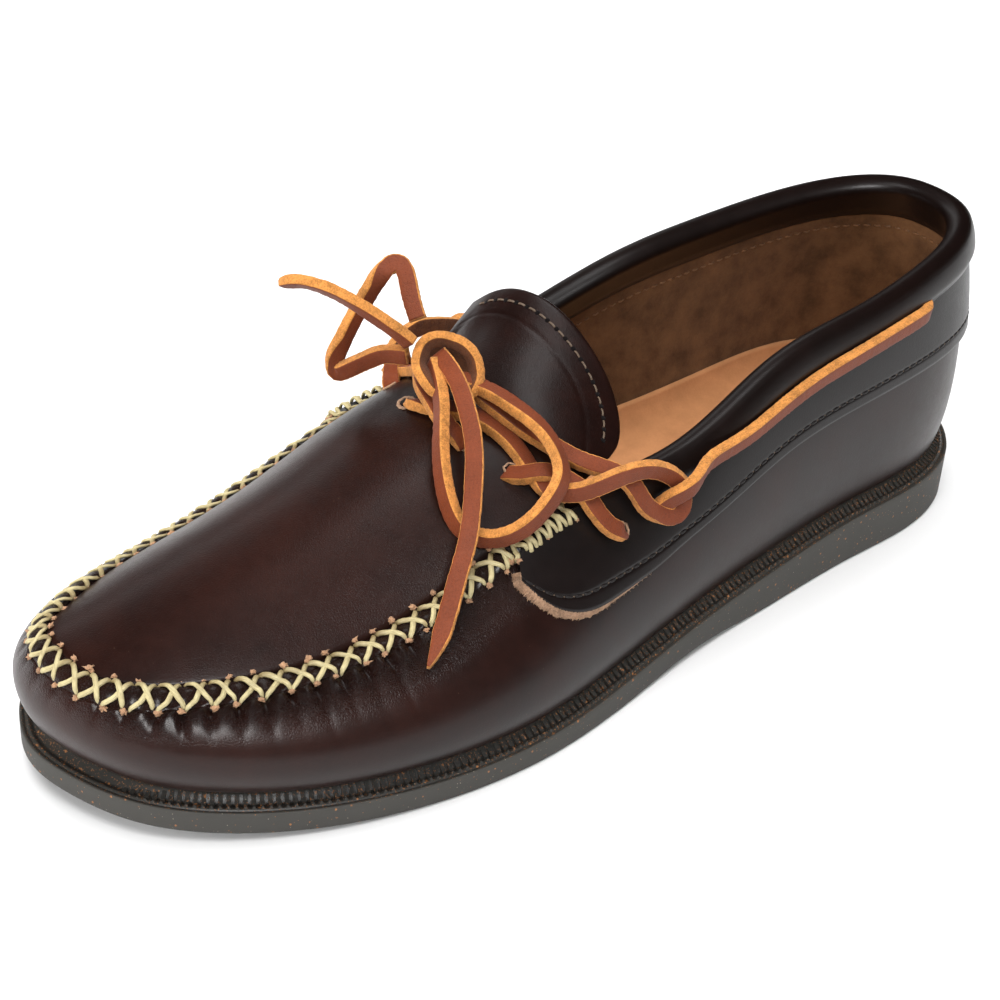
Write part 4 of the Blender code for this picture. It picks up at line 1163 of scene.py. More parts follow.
def plug_lines():
    """Lines across the apron and tongue, from the outer to the inner edge, toe to tongue rim."""
    shares = np.linspace(0.0, 1.0, 150) ** 1.5
    rows = THROAT_ROW * shares
    spread = np.linspace(-1.0, 1.0, 99)
    across = 0.35 * np.sin(spread * math.pi / 2.0) + 0.65 * spread

    def section(row):
        """From the outer upper holes over the instep to the inner ones."""
        lateral, medial = [ridge_line_at(side * row, RIDGE_WIDTH / 2.0 + upper_hole_inset(row))
                           for side in (1.0, -1.0)]
        middle = (lateral + medial) / 2.0
        aim = ridge_line(row)
        share = ease(row, 0.0, 0.9)
        points = lateral + (medial - lateral) * (across[:, None] + 1.0) / 2.0
        points[:, 1] += share * (aim[0] - middle[1]) * (1.0 - across ** 2)
        points[:, 2] += share * (aim[1] - middle[2]) * (1.0 - np.abs(across) ** 2.1)
        points[:, 2] -= 0.3 * np.exp(-(1.0 - np.abs(across)) * 22.0)
        return points

    apron = np.stack([section(row) for row in rows])
    side = np.linspace(0.0, 1.0, apron.shape[1])
    rim = open_spline(TONGUE_RIM)(side)
    start = apron[-1]
    slope = unit_vectors(apron[-1] - apron[-4])
    reach = np.linspace(0.0, 1.0, 68)[1:, None, None]
    span = np.linalg.norm(rim - start, axis=-1, keepdims=True)
    lean = start + slope * span / 3.0
    near = start + (rim - start) * 0.667
    dome = TONGUE_DOME * 4.0 * reach * (1.0 - reach) * np.sin(math.pi * side)[None, :, None]
    rest = 1.0 - reach
    plain = start + (rim - start) * reach
    curved = (rest ** 3 * start + 3 * rest ** 2 * reach * lean + 3 * rest * reach ** 2 * near
              + reach ** 3 * rim)
    sure = ease(np.abs(side - 0.5), 0.38, 0.5)[None, :, None]
    tongue = sure * plain + (1.0 - sure) * curved + dome * np.array((-0.4, 0.0, 1.0))
    return rows, apron, tongue


def build_plug():
    """Replaces the tongue and the upper's apron: plug and tongue in one skin with a rolled rim."""
    rows, apron, tongue = plug_lines()
    points = np.concatenate([apron, tongue])
    normal = surface_normals(points)
    if normal[len(rows) // 2, points.shape[1] // 2, 2] < 0.0:
        normal = -normal
    width = points.shape[1]
    edge = np.abs(np.linspace(-1.0, 1.0, width))
    tuck = ease(edge, 0.965, 1.0)[None, :] * 0.6
    crease = 0.13 * np.exp(-((rim_distance(points) - CREASE_DISTANCE) / 0.8) ** 2)
    crease = crease * (1.0 - ease(edge, 0.8, 0.93))[None, :]
    crease = crease * (np.arange(len(points)) >= len(rows) + 4)[:, None]
    points = points - (tuck + crease)[..., None] * normal
    along = unit_vectors(points[-1] - points[-4])
    up = normal[-2]
    roll = [points[-1] + RIM_RADIUS * (math.sin(turn) * along + (math.cos(turn) - 1.0) * up)
            for turn in np.linspace(0.0, math.pi, 9)[1:]]
    under = (points - 2.0 * RIM_RADIUS * normal)[-7:-91:-1]
    skin = np.concatenate([points, roll, under])
    warmth = np.exp(-((skin[..., 0] - 62.0) / 45.0) ** 2) * 0.55
    warmth[len(points) + 8:] = 0.0
    plug = grid_piece("plug", skin, finish("plug leather"), flip=True,
                      marks={"gather": np.full(skin.shape[:2], 0.04), "warmth": warmth})
    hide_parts("tongue")
    build_tongue_stitches(points, normal)


def rim_distance(points):
    """How far each point of the plug lies inside the tongue's rim."""
    steps = np.linalg.norm(np.diff(points[::-1], axis=0), axis=-1)
    return np.concatenate([np.zeros((1, points.shape[1])), np.cumsum(steps, axis=0)])[::-1]


def stitch(heap, line, facing, places, rises, outline, **marks):
    """One stitch or hole that follows a line between these lengths of it, raised at each."""
    reach = run_of(line)
    up = along_line(places, reach, facing)
    bead = along_line(places, reach, line) + up * np.array(rises)[:, None]
    heap.tube(bead, up, outline, **marks)


def build_tongue_stitches(points, normal):
    """Fine stitches between punched holes, a little inside the tongue's rim; each hole is a thin dark
    oval of painted shade.
    """
    threads, holes = Heap(), Heap()
    behind = rim_distance(points)[::-1]

    def at_rim(values):
        return np.array([[np.interp(STITCH_DISTANCE, behind[:, column], values[::-1, column, k])
                          for k in range(3)] for column in range(points.shape[1])])

    line, facing = at_rim(points), at_rim(normal)
    pitch, margin = 3.4, 9.0
    round_ends = np.array(((0.4, 1.0), (1.0, 1.0), (1.0, 1.0), (0.4, 1.0)))
    for place in np.arange(margin, run_of(line)[-1] - margin, pitch):
        stitch(threads, line, facing, place + pitch * np.array((0.12, 0.3, 0.5, 0.7, 0.88)),
               (-0.35, 0.1, 0.2, 0.1, -0.35), oval(0.6, 0.4, 6), ends=0.8)
        # Thin near-black ovals at the holes: painted shade
        stitch(holes, line, facing, place + np.array((-0.6, -0.35, 0.35, 0.6)),
               (0.02, 0.02, 0.02, 0.02), oval(1.25, 0.12, 10), scale=round_ends)
    threads.piece("tongue_stitches", finish("fine thread"))
    holes.piece("tongue_hole_shade", finish("hole"))


def thread_leg(first, second, falling):
    """One leg of the crossing thread, between a lower hole and the next upper one."""
    share = np.linspace(0.0, 1.0, LEG_POINTS)
    if falling:
        across = np.cos(math.pi / 2.0 * share ** 1.15)
        station = first + (second - first) * share ** 0.9
    else:
        across = 0.12 * share + 0.88 * share ** 2 * (3.0 - 2.0 * share)
        station = first + (second - first) * (1.06 * share - 0.06 * share ** 2)
    return row_of(station), across


def overlay_cover(row, across):
    """1 where the seam crosses over the quarter overlay, 0 elsewhere."""
    place = np.abs(off_toe(row))
    share = np.interp(place, [station[2] for station in OVERLAY], np.linspace(0.0, 1.0, len(OVERLAY)))
    top_height = overlay_edge(0.5 * share)[..., 3]
    depth = lower_hole_depth(row)
    below = depth - across * (depth + RIDGE_WIDTH / 2.0 + upper_hole_inset(row))
    edge = (1.0 - top_height) * wall_speed(row)
    nose = OVERLAY[0][0]
    return ease(below, edge - 1.6, edge - 0.2) * ease(place, nose, nose + 0.1)


def build_seam():
    """Crossing waxed threads over the ridge, and the raw crumbs at their holes."""
    chance = np.random.default_rng(4)
    count = len(seam_stations()) - 1
    build_seam_thread(chance, count)
    build_seam_crumbs(chance, count)


def build_seam_thread(chance, count):
    """Waxed thread: a rising and a falling leg between every two holes."""
    shape = bpy.context.scene.moccasin_shape
    outline = oval(shape.thread_width / MM, shape.thread_thickness / MM, 10)
    threads = Heap()
    share = np.linspace(0.0, 1.0, LEG_POINTS)
    dive = THREAD_DIVE * (ease(share, 0.1, 0.0) + ease(share, 0.9, 1.0))
    for station in range(-count, count):
        for falling in (False, True):
            row, across = thread_leg(station, station + 1, falling)
            if min(abs(station), abs(station + 1)) > count - WHIP:
                # The close stitches reach past the holes on both sides
                across = across * 1.38 - 0.24
            wobble = THREAD_WOBBLE * chance.standard_normal(2)
            row = row_of(station_of(row) + np.linspace(*wobble, LEG_POINTS))
            normal = seam_normal(row, across)
            over = CROSSING_LIFT if falling else 0.0
            lift = THREAD_LIFT + over * np.exp(-((share - 0.45) / 0.2) ** 2)
            lift = lift + (GAP + OVERLAY_WALL + 0.1) * overlay_cover(row, across)
            base = seam_band(row, across) + (pillow(row, across) * 0.85)[:, None] * normal
            line = base + (lift - dive)[:, None] * normal
            swell = 1.0 - 0.22 * np.abs(2.0 * share - 1.0) ** 3 + 0.05 * chance.standard_normal()
            toward_upper_hole = ease(1.0 - share if falling else share, 0.35, 1.0)
            threads.tube(line, normal, outline, scale=np.stack([swell, swell], -1),
                         ends=np.repeat(toward_upper_hole, len(outline)))
    threads.piece("seam_thread", finish("waxed thread"))


def build_seam_crumbs(chance, count):
    """Raw crumbs at the holes, and one tag of raw leather near each end of the seam."""
    crumb = bpy.context.scene.moccasin_shape.crumb_size / MM
    crumbs = Heap()
    forms, faces = crumb_forms(7, 24)

    def drop(row, across, shift, size):
        """One crumb, shifted along the seam and up the ridge."""
        row, across = np.array([row]), np.array([across])
        normal = seam_normal(row, across)[0]
        lift = (GAP + OVERLAY_WALL) * overlay_cover(row, across)[0]
        spot = seam_band(row, across)[0] + lift * normal
        aim = unit_vectors(seam_band(row, np.clip(across + 0.15, 0.0, 1.0))[0]
                           - seam_band(row, np.clip(across - 0.15, 0.0, 1.0))[0])
        side = np.cross(normal, aim)
        form = forms[chance.integers(len(forms))] * (1.1, 0.85, 0.6)
        lump = form[:, 0:1] * side + form[:, 1:2] * aim + form[:, 2:3] * normal
        crumbs.add(spot + shift[1] * aim + shift[0] * side + 0.2 * normal + lump * size, faces)

    for station in range(-count, count + 1):
        whip = abs(station) > count - WHIP
        for across, lean in ((0.0, -0.55), (1.0, 1.15)):
            row = row_of(station + 0.08 * chance.standard_normal())
            size = crumb * chance.uniform(0.40, 0.56)
            if not (whip and (across > 0.5 or station % 3)):
                drop(row, across, (0.3 * chance.standard_normal(), lean), size * (0.6 if whip else 1.0))
    for row in (TAG_ROW, RING - TAG_ROW):
        drop(row, TAG_ACROSS, (0.0, 0.0), TAG_SIZE)
    crumbs.piece("seam_crumbs", finish("crumb leather"))


# ---------------------------------------------------------------- quarters
def overlay_edge(share):
    """Ring row and wall height of the overlay's lower and upper edge, from nose to nose."""
    stations = OVERLAY + [(RING - low, low_h, RING - top, top_h)
                          for low, low_h, top, top_h in reversed(OVERLAY[:-1])]
    return open_spline(stations)(share)


def nose_share(share):
    """1 at the overlay's two round noses, 0 behind them."""
    off = np.minimum(share, 1.0 - share)
    return 1.0 - ease(off, 0.13, 0.24)


def overlay_face(ends, part):
    """Rows, heights and lift of the overlay's outer face over its length and its width."""
    edge = overlay_edge(ends)[:, None, :]
    row = edge[..., 0] + (edge[..., 2] - edge[..., 0]) * part
    height = edge[..., 1] + (edge[..., 3] - edge[..., 1]) * part
    near = nose_share(ends)[:, None]
    lift = GAP + OVERLAY_WALL * (0.86 + 0.14 * ease(part, 0.0, 0.03)) + 0.15 * near
    groove = 0.3 * np.exp(-((part - stitch_part(ends)[:, None]) / 0.02) ** 2)
    return row, height, lift - groove


def overlay_ends(nose_count, middle_count):
    """Shares of the overlay's length, closer together at its two noses."""
    nose, middle = 0.24, np.linspace(0.24, 0.76, middle_count)
    return np.concatenate([np.linspace(0.0, nose, nose_count), middle[1:-1],
                           np.linspace(1.0 - nose, 1.0, nose_count)])


def build_overlay():
    """Replaces the quarter overlay: a flat band with a raw tan edge at its nose."""
    ends = overlay_ends(130, 260)
    part = np.concatenate([np.linspace(0.0, 0.03, 4), np.linspace(0.03, 0.3, 18)[1:],
                           np.linspace(0.3, 1.0, 14)[1:]])[None, :]
    row, height, lift = overlay_face(ends, part)
    outer = offset_wall(row, height, lift)
    band = grid_piece("overlay", outer, finish("overlay leather"), marks=even_marks(outer, 0.02, 0.0))
    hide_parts("quarter_overlay")
    lid = np.concatenate([outer[:, -1:], wall(row[:, -1:], height[:, -1:])], 1)
    top = grid_piece("overlay_top", lid, finish("overlay leather"), marks=even_marks(lid, 0.0, 0.0))
    build_overlay_rim()
    build_overlay_stitches(ends)


def build_overlay_rim():
    """Raw cut edge below the overlay, wide and fibrous at the two noses."""
    front = np.linspace(NOSE_CUT, 0.0, 70)
    below = overlay_ends(520, 300)[1:-1]
    ends = np.concatenate([0.0 * front, below, 0.0 * front + 1.0])
    part = np.concatenate([front, 0.0 * below, front[::-1]])[:, None]
    row, height, lift = overlay_face(ends, part)
    outer = offset_wall(row, height, lift)
    normal, _ = wall_frame(row, height)
    out = unit_vectors(np.cross(np.gradient(outer[:, 0], axis=0), normal[:, 0]))
    out = out * np.sign(-out[len(out) // 2, 2])
    padded = np.pad(out, ((6, 6), (0, 0)), "edge")
    soft = [np.convolve(padded[:, axis], np.ones(13) / 13.0, "valid") for axis in range(3)]
    away = unit_vectors(np.stack(soft, -1))[:, None, :]
    near = nose_share(ends)[:, None]
    chance = np.random.default_rng(11)
    fray = np.convolve(chance.standard_normal(len(ends)), (0.25, 0.5, 0.25), "same")[:, None]
    flare = np.array((0.0, 0.12, 0.3, 0.5, 0.7, 0.87, 1.0))[None, :]
    rough = 0.1 * chance.standard_normal((len(ends), flare.shape[1]))
    reach = (0.28 + near * (1.25 + 0.3 * fray)) * flare + near * 0.6 * rough
    drop = (lift + 0.15) * (0.25 * flare ** 0.4 + 0.75 * flare ** 3) + near * rough
    lips = outer + away * reach[..., None] - normal * drop[..., None]
    grid_piece("overlay_edge", lips, finish("raw edge"), flip=True)
    fibres = Heap()
    for place in chance.integers(0, len(ends), 700):
        if nose_share(ends[place]) < 0.25:
            continue
        start = lips[place, chance.integers(3, 7)]
        lean = away[place, 0] * 0.8 + 0.7 * chance.standard_normal(3) + 0.4 * normal[place, 0]
        run = np.array((-0.1, 0.25, 0.55))[:, None] * chance.uniform(0.5, 1.3)
        fibres.tube(start + unit_vectors(lean) * run, np.tile(normal[place, 0], (3, 1)),
                    oval(0.13, 0.13, 4), scale=np.array(((1.0, 1.0), (0.9, 0.9), (0.3, 0.3))))
    fibres.piece("overlay_fibres", finish("raw edge"))


def stitch_part(ends):
    """Where the overlay's stitch line lies between its lower and upper edge."""
    return 0.15 + 0.03 * nose_share(ends)


def build_overlay_stitches(ends):
    """Dark stitches in a channel, with a pale spot at each hole."""
    row, height, lift = overlay_face(ends, stitch_part(ends)[:, None])
    line = offset_wall(row, height, lift + 0.1)[:, 0]
    facing = wall_frame(row[:, 0], height[:, 0])[0]
    threads, holes = Heap(), Heap()
    pitch = 2.9
    for place in np.arange(1.0, run_of(line)[-1] - 2.0, pitch):
        stitch(threads, line, facing, place + pitch * np.array((0.0, 0.2, 0.4, 0.6, 0.8)),
               (-0.3, 0.08, 0.12, 0.08, -0.3), oval(0.75, 0.45, 6), ends=0.0)
        stitch(holes, line, facing, place + pitch * np.array((0.84, 0.9, 0.96)),
               (-0.14, -0.02, -0.14), oval(0.42, 0.25, 6), ends=1.0)
    threads.piece("overlay_stitches", finish("dark thread"))
    holes.piece("overlay_holes", finish("fine thread"))


def build_collar():
    """Replaces the rolled topline: a smooth padded band with a groove under it."""
    width = bpy.context.scene.moccasin_shape.collar_width / MM
    rows = by_length(top_edge, COLLAR_START, RING - COLLAR_START, 1.5)
    normal, up = wall_frame(rows, 1.0)
    top = top_edge(rows)
    outer_leg = GAP + OVERLAY_WALL + GAP
    inner_leg = -(UPPER_WALL + 1.5 * GAP)
    skin = 1.3

    def line_below(depth, lift):
        """One line of the band's legs, this far below the topline and off the wall."""
        return offset_wall(rows, height_below_top(rows, depth), lift)

    lines = [line_below(width - 0.3, outer_leg - 0.6)]
    for depth in np.linspace(width, 0.6, 12):
        part = depth / width
        swell = 0.35 + 0.65 * ease(1.0 - part, 0.0, 0.3)
        lines.append(line_below(depth, outer_leg + skin * swell + 0.35 * math.sin(math.pi * part)))
    middle, half = (outer_leg + inner_leg) / 2.0, (outer_leg - inner_leg) / 2.0 + skin
    for turn in np.linspace(0.0, math.pi, 13):
        rise = 0.75 * half * math.sin(turn) - 0.3
        lines.append(top + (middle + half * math.cos(turn)) * normal + rise * up)
    for depth in np.linspace(0.8, width + 1.5, 8):
        thin = 0.7 * ease(depth, width - 1.0, width + 1.5)
        lines.append(line_below(depth, inner_leg - skin * (1.0 - thin)))
    band = np.stack(lines, 1)
    reach = run_of(top)
    close = ease(np.minimum(reach, reach[-1] - reach), 0.0, 9.0)[:, None, None] ** 0.6
    core = (top + (middle - 1.0) * normal - 2.5 * up)[:, None]
    band = core + (band - core) * (0.02 + 0.98 * close)
    collar = grid_piece("collar", band, finish("collar leather"), marks=even_marks(band, 0.0, 0.1))
    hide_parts("collar_binding")


def build_lining():
    """Suede inside of the upper, with a stitch line under the collar."""
    rows = by_length(top_edge, 0.0, RING, 2.4)[:-1][:, None]
    inside = offset_wall(rows, np.linspace(0.0, 1.0, 26)[None, :], -UPPER_WALL)
    lining = grid_piece("lining", inside, finish("lining"), closed=True, flip=True)
    heap = Heap()
    rows = by_length(top_edge, COLLAR_START + 0.2, RING - COLLAR_START - 0.2, 1.0)
    height = height_below_top(rows, LINING_STITCH_DEPTH)
    line = offset_wall(rows, height, -UPPER_WALL - 0.1)
    facing = -wall_frame(rows, height)[0]
    for place in range(0, len(line) - 3, 3):
        up = facing[place:place + 3]
        bead = line[place:place + 3] + up * np.array((-0.2, 0.15, -0.2))[:, None]
        heap.tube(bead, up, oval(0.6, 0.3, 6), ends=1.0)
    heap.piece("lining_stitches", finish("lining thread"))


def build_sock():
    """Replaces the insole: a leather sock whose edge curls up the inside of the wrap."""
    rows = by_length(sole_edge, 0.0, RING, 3.0)[:-1]
    count = len(rows)
    seat = inset_edge(rows, LEDGE_WIDTH + UPPER_WALL + 2.0)

    def sock_z(x):
        return seat_z(x) + GAP + INSOLE_WALL

    floor_z = sock_z(seat[:, 0])
    inside = offset_wall(rows[:, None], np.linspace(0.02, 0.7, 40)[None, :], -UPPER_WALL - 0.6)

    def at_height(rise):
        return np.stack([[np.interp(floor_z[k] + rise, inside[k, :, 2], inside[k, :, axis])
                          for axis in range(2)] for k in range(count)])

    rim = with_z(at_height(SOCK_CURL), floor_z + SOCK_CURL)
    corner = with_z(at_height(0.5), floor_z)
    middle = np.stack([np.clip(seat[:, 0], 40.0, 262.0), np.full(count, -4.0)], -1)
    flat = with_z(corner[:, :2] + (middle - corner[:, :2]) * 0.34, floor_z)
    lines = [rim + (corner - rim) * 0.05 + (corner - flat) * 0.02]
    for share in np.linspace(0.0, 1.0, 12):
        lines.append((1 - share) ** 2 * rim + 2 * share * (1 - share) * corner + share ** 2 * flat)
    for share in np.linspace(0.0, 1.0, 9)[1:]:
        plan = flat[:, :2] + (middle - flat[:, :2]) * share
        lines.append(with_z(plan, sock_z(plan[:, 0])))
    sock = make_piece("sock", np.concatenate(lines), ring_faces(len(lines), count), [finish("sock")])
    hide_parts("insole")


def build_heel_seam():
    """Hand-sewn seam up the back of the heel, its edge drawn in by every stitch."""
    height = np.linspace(0.10, 0.60, 90)
    pitch = 3.3
    scallop = 0.5 + 0.5 * np.cos(2.0 * math.pi * run_of(wall(HEEL_ROW, height)) / pitch)
    puff = 0.55 + 0.45 * scallop
    points = np.stack([offset_wall(HEEL_ROW + side / 30.0, height, rise * puff)
                       for side, rise in HEEL_SEAM])
    seam = grid_piece("heel_seam", points, finish("overlay leather"), marks=even_marks(points, 0.1, 0.0),
                      flip=True)


# ---------------------------------------------------------------- lace
def strap_facing(line, keys):
    """Which way the grain face looks, blended between (share of the length, direction)."""
    reach = run_of(line)
    places, directions = zip(*keys)
    return unit_vectors(along_line(reach / reach[-1], places, np.array(directions)))


def strap_mesh(name, route, keys, tip_start=None, tip_end=None):
    """A rawhide strap along a route: grain face, two cut edges and flesh face."""
    shape = bpy.context.scene.moccasin_shape
    curve = open_spline(route)
    share = np.linspace(0.0, 1.0, 40 * len(route))
    reach = run_of(curve(share))
    count = int(round(reach[-1] / STRAP_STEP))
    run = np.linspace(0.0, reach[-1], count + 1)
    line = curve(np.interp(run, reach, share))
    outline, sides = rounded_strap(shape.lace_width / MM, shape.lace_thickness / MM, STRAP_CORNER)
    chance = np.random.default_rng(len(route))
    scale = np.repeat(1.0 + 0.018 * chance.standard_normal((len(line), 1)), 2, 1)
    for tip, from_end in ((tip_start, run), (tip_end, reach[-1] - run)):
        if tip:
            length, fullness, left = tip
            taper = np.clip(from_end / length, 0.0, 1.0)
            scale[:, 0] *= left + (1.0 - left) * taper ** fullness
            scale[:, 1] *= 0.55 + 0.45 * taper ** 0.5
    rings = sweep(line, strap_facing(line, keys), outline, scale)
    looks = [finish("lace grain"), finish("lace edge"), finish("lace flesh")]
    strap = make_piece(name, rings.reshape(-1, 3), tube_faces(len(line), len(outline)), looks,
                       which=sides * (len(line) - 1) + [1, 1])
    return strap, line


def build_lace():
    """Replaces the lace's strands and the bow's free cords."""
    for name, route in BARS.items():
        strap, _ = strap_mesh("lace_" + name, route, LACE_FACING[name], **LACE_TIPS.get(name, {}))
        if name == "bight_outer":
            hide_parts("lace_bars")
    for name, route in CORDS.items():
        tips = LACE_TIPS.get(name, {})
        strap, line = strap_mesh("strap_" + name, route, LACE_FACING[name], **tips)
        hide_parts(name)
    # A dark tube fills the knot's middle: painted shade between its strands
    heart = Heap()
    line = open_spline(KNOT_HEART)(np.linspace(0.0, 1.0, 24))
    heart.tube(line, np.tile(HEART_FACING, (len(line), 1)), oval(6.0, 2.0, 14))
    heart.piece("lace_knot_shade", finish("lace core"))
    build_lace_holes()


def build_lace_holes():
    """Punched holes with a raw rim where the lace dives into the leather; the near-black pit in each is
    painted shade.
    """
    _, apron, tongue = plug_lines()
    plug = np.concatenate([apron, tongue])
    ends = np.linspace(0.0, 1.0, 500)
    row, height, lift = overlay_face(ends, np.linspace(0.1, 0.9, 60)[None, :])
    quarter = offset_wall(row, height, lift)
    faces = {"plug": (plug, surface_normals(plug)), "quarter": (quarter, surface_normals(quarter))}
    pit_shade, rims = Heap(), Heap()
    turn = np.linspace(0.0, 2.0 * math.pi, 29)
    chance = np.random.default_rng(5)
    for where, place, lean, length, width, rim in LACE_HOLES:
        points, normals = faces[where]
        nearest = np.linalg.norm(points - place, axis=-1).argmin()
        spot = points.reshape(-1, 3)[nearest]
        up = normals.reshape(-1, 3)[nearest]
        up = up * np.sign(up @ (spot - (spot[0], 0.0, 30.0)))
        along = unit_vectors(np.array(lean) - up * (up @ lean))
        side = np.cross(up, along)
        ring = np.cos(turn)[:, None] * along * length / 2.0 + np.sin(turn)[:, None] * side * width / 2.0
        fray = 1.0 + 0.05 * chance.standard_normal((29, 1))
        rims.tube(spot + ring * fray + 0.1 * up, np.tile(up, (29, 1)), oval(rim, 0.7, 8))
        # Near-black pit below the rim: painted shade inside the hole
        pit_shade.add(spot + np.concatenate([ring[:-1] + 0.2 * up, ring[:-1] - 0.4 * up]), tube_faces(2, 28))
    rims.piece("lace_hole_rims", finish("raw edge"))
    pit_shade.piece("lace_hole_shade", finish("hole"))


# ---------------------------------------------------------------- stage
FLOOR_REACH = 40.0
Light = namedtuple("Light", "name place width depth power mirrored")
# Places and sizes in metres.  A light without a width is a broad sky: its depth is the angle it
# fills.  A mirrored one shows only as a gloss, the others light without a gloss of their own.
LIGHTS = [
    Light("overhead", (0.0, 0.0, 2.2), 0.0, 1.06, 4.6, False),
    Light("front_left", (-1.8, -1.2, 1.0), 1.4, 1.0, 30.0, False),
    Light("front_right", (0.8, -2.0, 1.0), 1.4, 1.0, 12.0, False),
    Light("back", (0.4, 2.0, 1.2), 1.6, 1.0, 14.0, False),
    Light("toe_light", (-1.5, 0.7, 0.5), 0.9, 0.5, 18.0, False),
    Light("back_strip", (0.42, 1.7, 1.00), 1.6, 0.45, 3.2, True),
    Light("tongue_light", (0.035, 0.03, 0.27), 0.09, 0.09, 0.10, True),
    Light("seam_light", (-0.6, -1.15, 1.45), 0.6, 0.45, 24.0, True),
]
LIGHTS_AIM = Vector((0.0, 0.0, 0.03))
# Where the camera aims on the ground, how far off it stands and how it is turned
CAMERA_AIM = (137.8, 53.4, 0.0)
CAMERA_REACH = 575.7
CAMERA_TURN = math.radians(35.5)
CAMERA_RISE = math.radians(33.0)
CAMERA_ROLL = math.radians(1.4)


def build_stage():
    """Pale floor, soft studio light and the camera at the shoe's outer front."""
    build_sky()
    build_floor()
    for light in LIGHTS:
        build_light(light)
    build_camera()


def build_sky():
    """Soft light all round, weaker overhead and on the side that the toe's gloss shows."""
    world = bpy.data.worlds.new("studio")
    bpy.context.scene.world = world
    bpy.context.scene.view_settings.view_transform = "Standard"
    world.use_nodes = True
    studio = Nodes(world.node_tree)
    aim = studio.node("ShaderNodeTexCoord", {}, {}, output="Generated")
    behind = studio.node("ShaderNodeSeparateXYZ", {}, {0: aim}, output="Y").step(-0.95, -0.1)
    height = studio.node("ShaderNodeSeparateXYZ", {}, {0: aim}, output="Z").step(0.0, 0.4)
    strength = (0.10 + 0.46 * (1.0 - height) ** 1.5) * (0.35 + 0.65 * behind)
    studio.tree.links.new(strength.socket, studio.tree.nodes["Background"].inputs["Strength"])


def build_floor():
    """Studio floor, wide enough to fill the view."""
    mesh = bpy.data.meshes.new("floor")
    corners = [(x * FLOOR_REACH, y * FLOOR_REACH, 0.0) for x, y in ((-1, -1), (1, -1), (1, 1), (-1, 1))]
    mesh.from_pydata(corners, [], [(0, 1, 2, 3)])
    mesh.materials.append(finish("studio floor"))
    floor = bpy.data.objects.new("floor", mesh)
    bpy.context.scene.collection.objects.link(floor)


def build_light(light):
    """One studio light, aimed at the shoe."""
    lamp = bpy.data.lights.new(light.name, "AREA" if light.width else "SUN")
    if light.width:
        lamp.shape = "RECTANGLE"
        lamp.size, lamp.size_y = light.width, light.depth
    else:
        lamp.angle = light.depth
    lamp.energy = light.power
    holder = bpy.data.objects.new(light.name, lamp)
    holder.visible_glossy = light.mirrored
    holder.visible_diffuse = not light.mirrored
    holder.visible_camera = False
    holder.location = light.place
    holder.rotation_mode = "QUATERNION"
    holder.rotation_quaternion = (LIGHTS_AIM - Vector(light.place)).to_track_quat("-Z", "Y")
    bpy.context.scene.collection.objects.link(holder)


def build_camera():
    """Camera that looks down at the outer side of the toe, level but for a slight roll."""
    shape = bpy.context.scene.moccasin_shape
    back = Vector((-math.sin(CAMERA_TURN) * math.cos(CAMERA_RISE),
                   -math.cos(CAMERA_TURN) * math.cos(CAMERA_RISE), math.sin(CAMERA_RISE)))
    place = Vector(in_frame(CAMERA_AIM)) + back * CAMERA_REACH * MM
    lens = bpy.data.cameras.new("camera")
    lens.sensor_width = 36.0
    lens.lens = shape.lens
    lens.clip_start, lens.clip_end = 0.01, 50.0
    level = (-back).cross(Vector(UP)).normalized()
    upright = level.cross(-back)
    swing, keep = math.sin(CAMERA_ROLL), math.cos(CAMERA_ROLL)
    right, up = level * keep + upright * swing, upright * keep - level * swing
    axes = Matrix((right, up, back)).transposed()
    aim = Matrix.Rotation(-shape.aim_right, 3, "Y") @ Matrix.Rotation(-shape.aim_down, 3, "X")
    holder = bpy.data.objects.new("camera", lens)
    holder.matrix_world = Matrix.Translation(place) @ (axes @ aim).to_4x4()
    bpy.context.scene.collection.objects.link(holder)
    bpy.context.scene.camera = holder


# ---------------------------------------------------------------- add-on
def length_property(name, description, default):
    """A length in metres."""
    return bpy.props.FloatProperty(name=name, description=description, default=default,
                                   subtype="DISTANCE", unit="LENGTH", precision=5)


def colour_property(name, description, default):
    """A colour in linear red, green and blue."""
    return bpy.props.FloatVectorProperty(name=name, description=description, default=default,
                                         size=3, subtype="COLOR", min=0.0, max=1.0)


class MoccasinShape(bpy.types.PropertyGroup):
    """Sizes a maker would change."""
    stitch_pitch: length_property("Stitch pitch", "Distance between two holes of the apron seam", 0.0060)
    thread_width: length_property("Thread width", "Width of the waxed thread", 0.0013)
    thread_thickness: length_property("Thread thickness", "Thickness of the waxed thread", 0.0008)
    pillow_height: length_property("Pillow height", "How far the ridge puffs between threads", 0.0011)
    gather_depth: length_property("Gather depth", "Depth of the pleats below the seam", 0.0014)
    crumb_size: length_property("Crumb size", "Width of the raw crumbs at the holes", 0.0023)
    collar_width: length_property("Collar width", "Width of the rolled collar band", 0.0075)
    rib_pitch: length_property("Rib pitch", "Distance between two ribs of the ledge", 0.00195)
    lace_width: length_property("Lace width", "Width of the rawhide lace", 0.0045)
    lace_thickness: length_property("Lace thickness", "Thickness of the rawhide lace", 0.0027)
    lens: bpy.props.FloatProperty(name="Lens", description="Focal length on a 36 mm frame",
                                  default=71.7, unit="CAMERA", subtype="DISTANCE_CAMERA")
    aim_right: bpy.props.FloatProperty(name="Aim right", description="Turn of the camera to the right",
                                       default=0.0557, subtype="ANGLE")
    aim_down: bpy.props.FloatProperty(name="Aim down", description="Turn of the camera downwards",
                                      default=-0.0031, subtype="ANGLE")


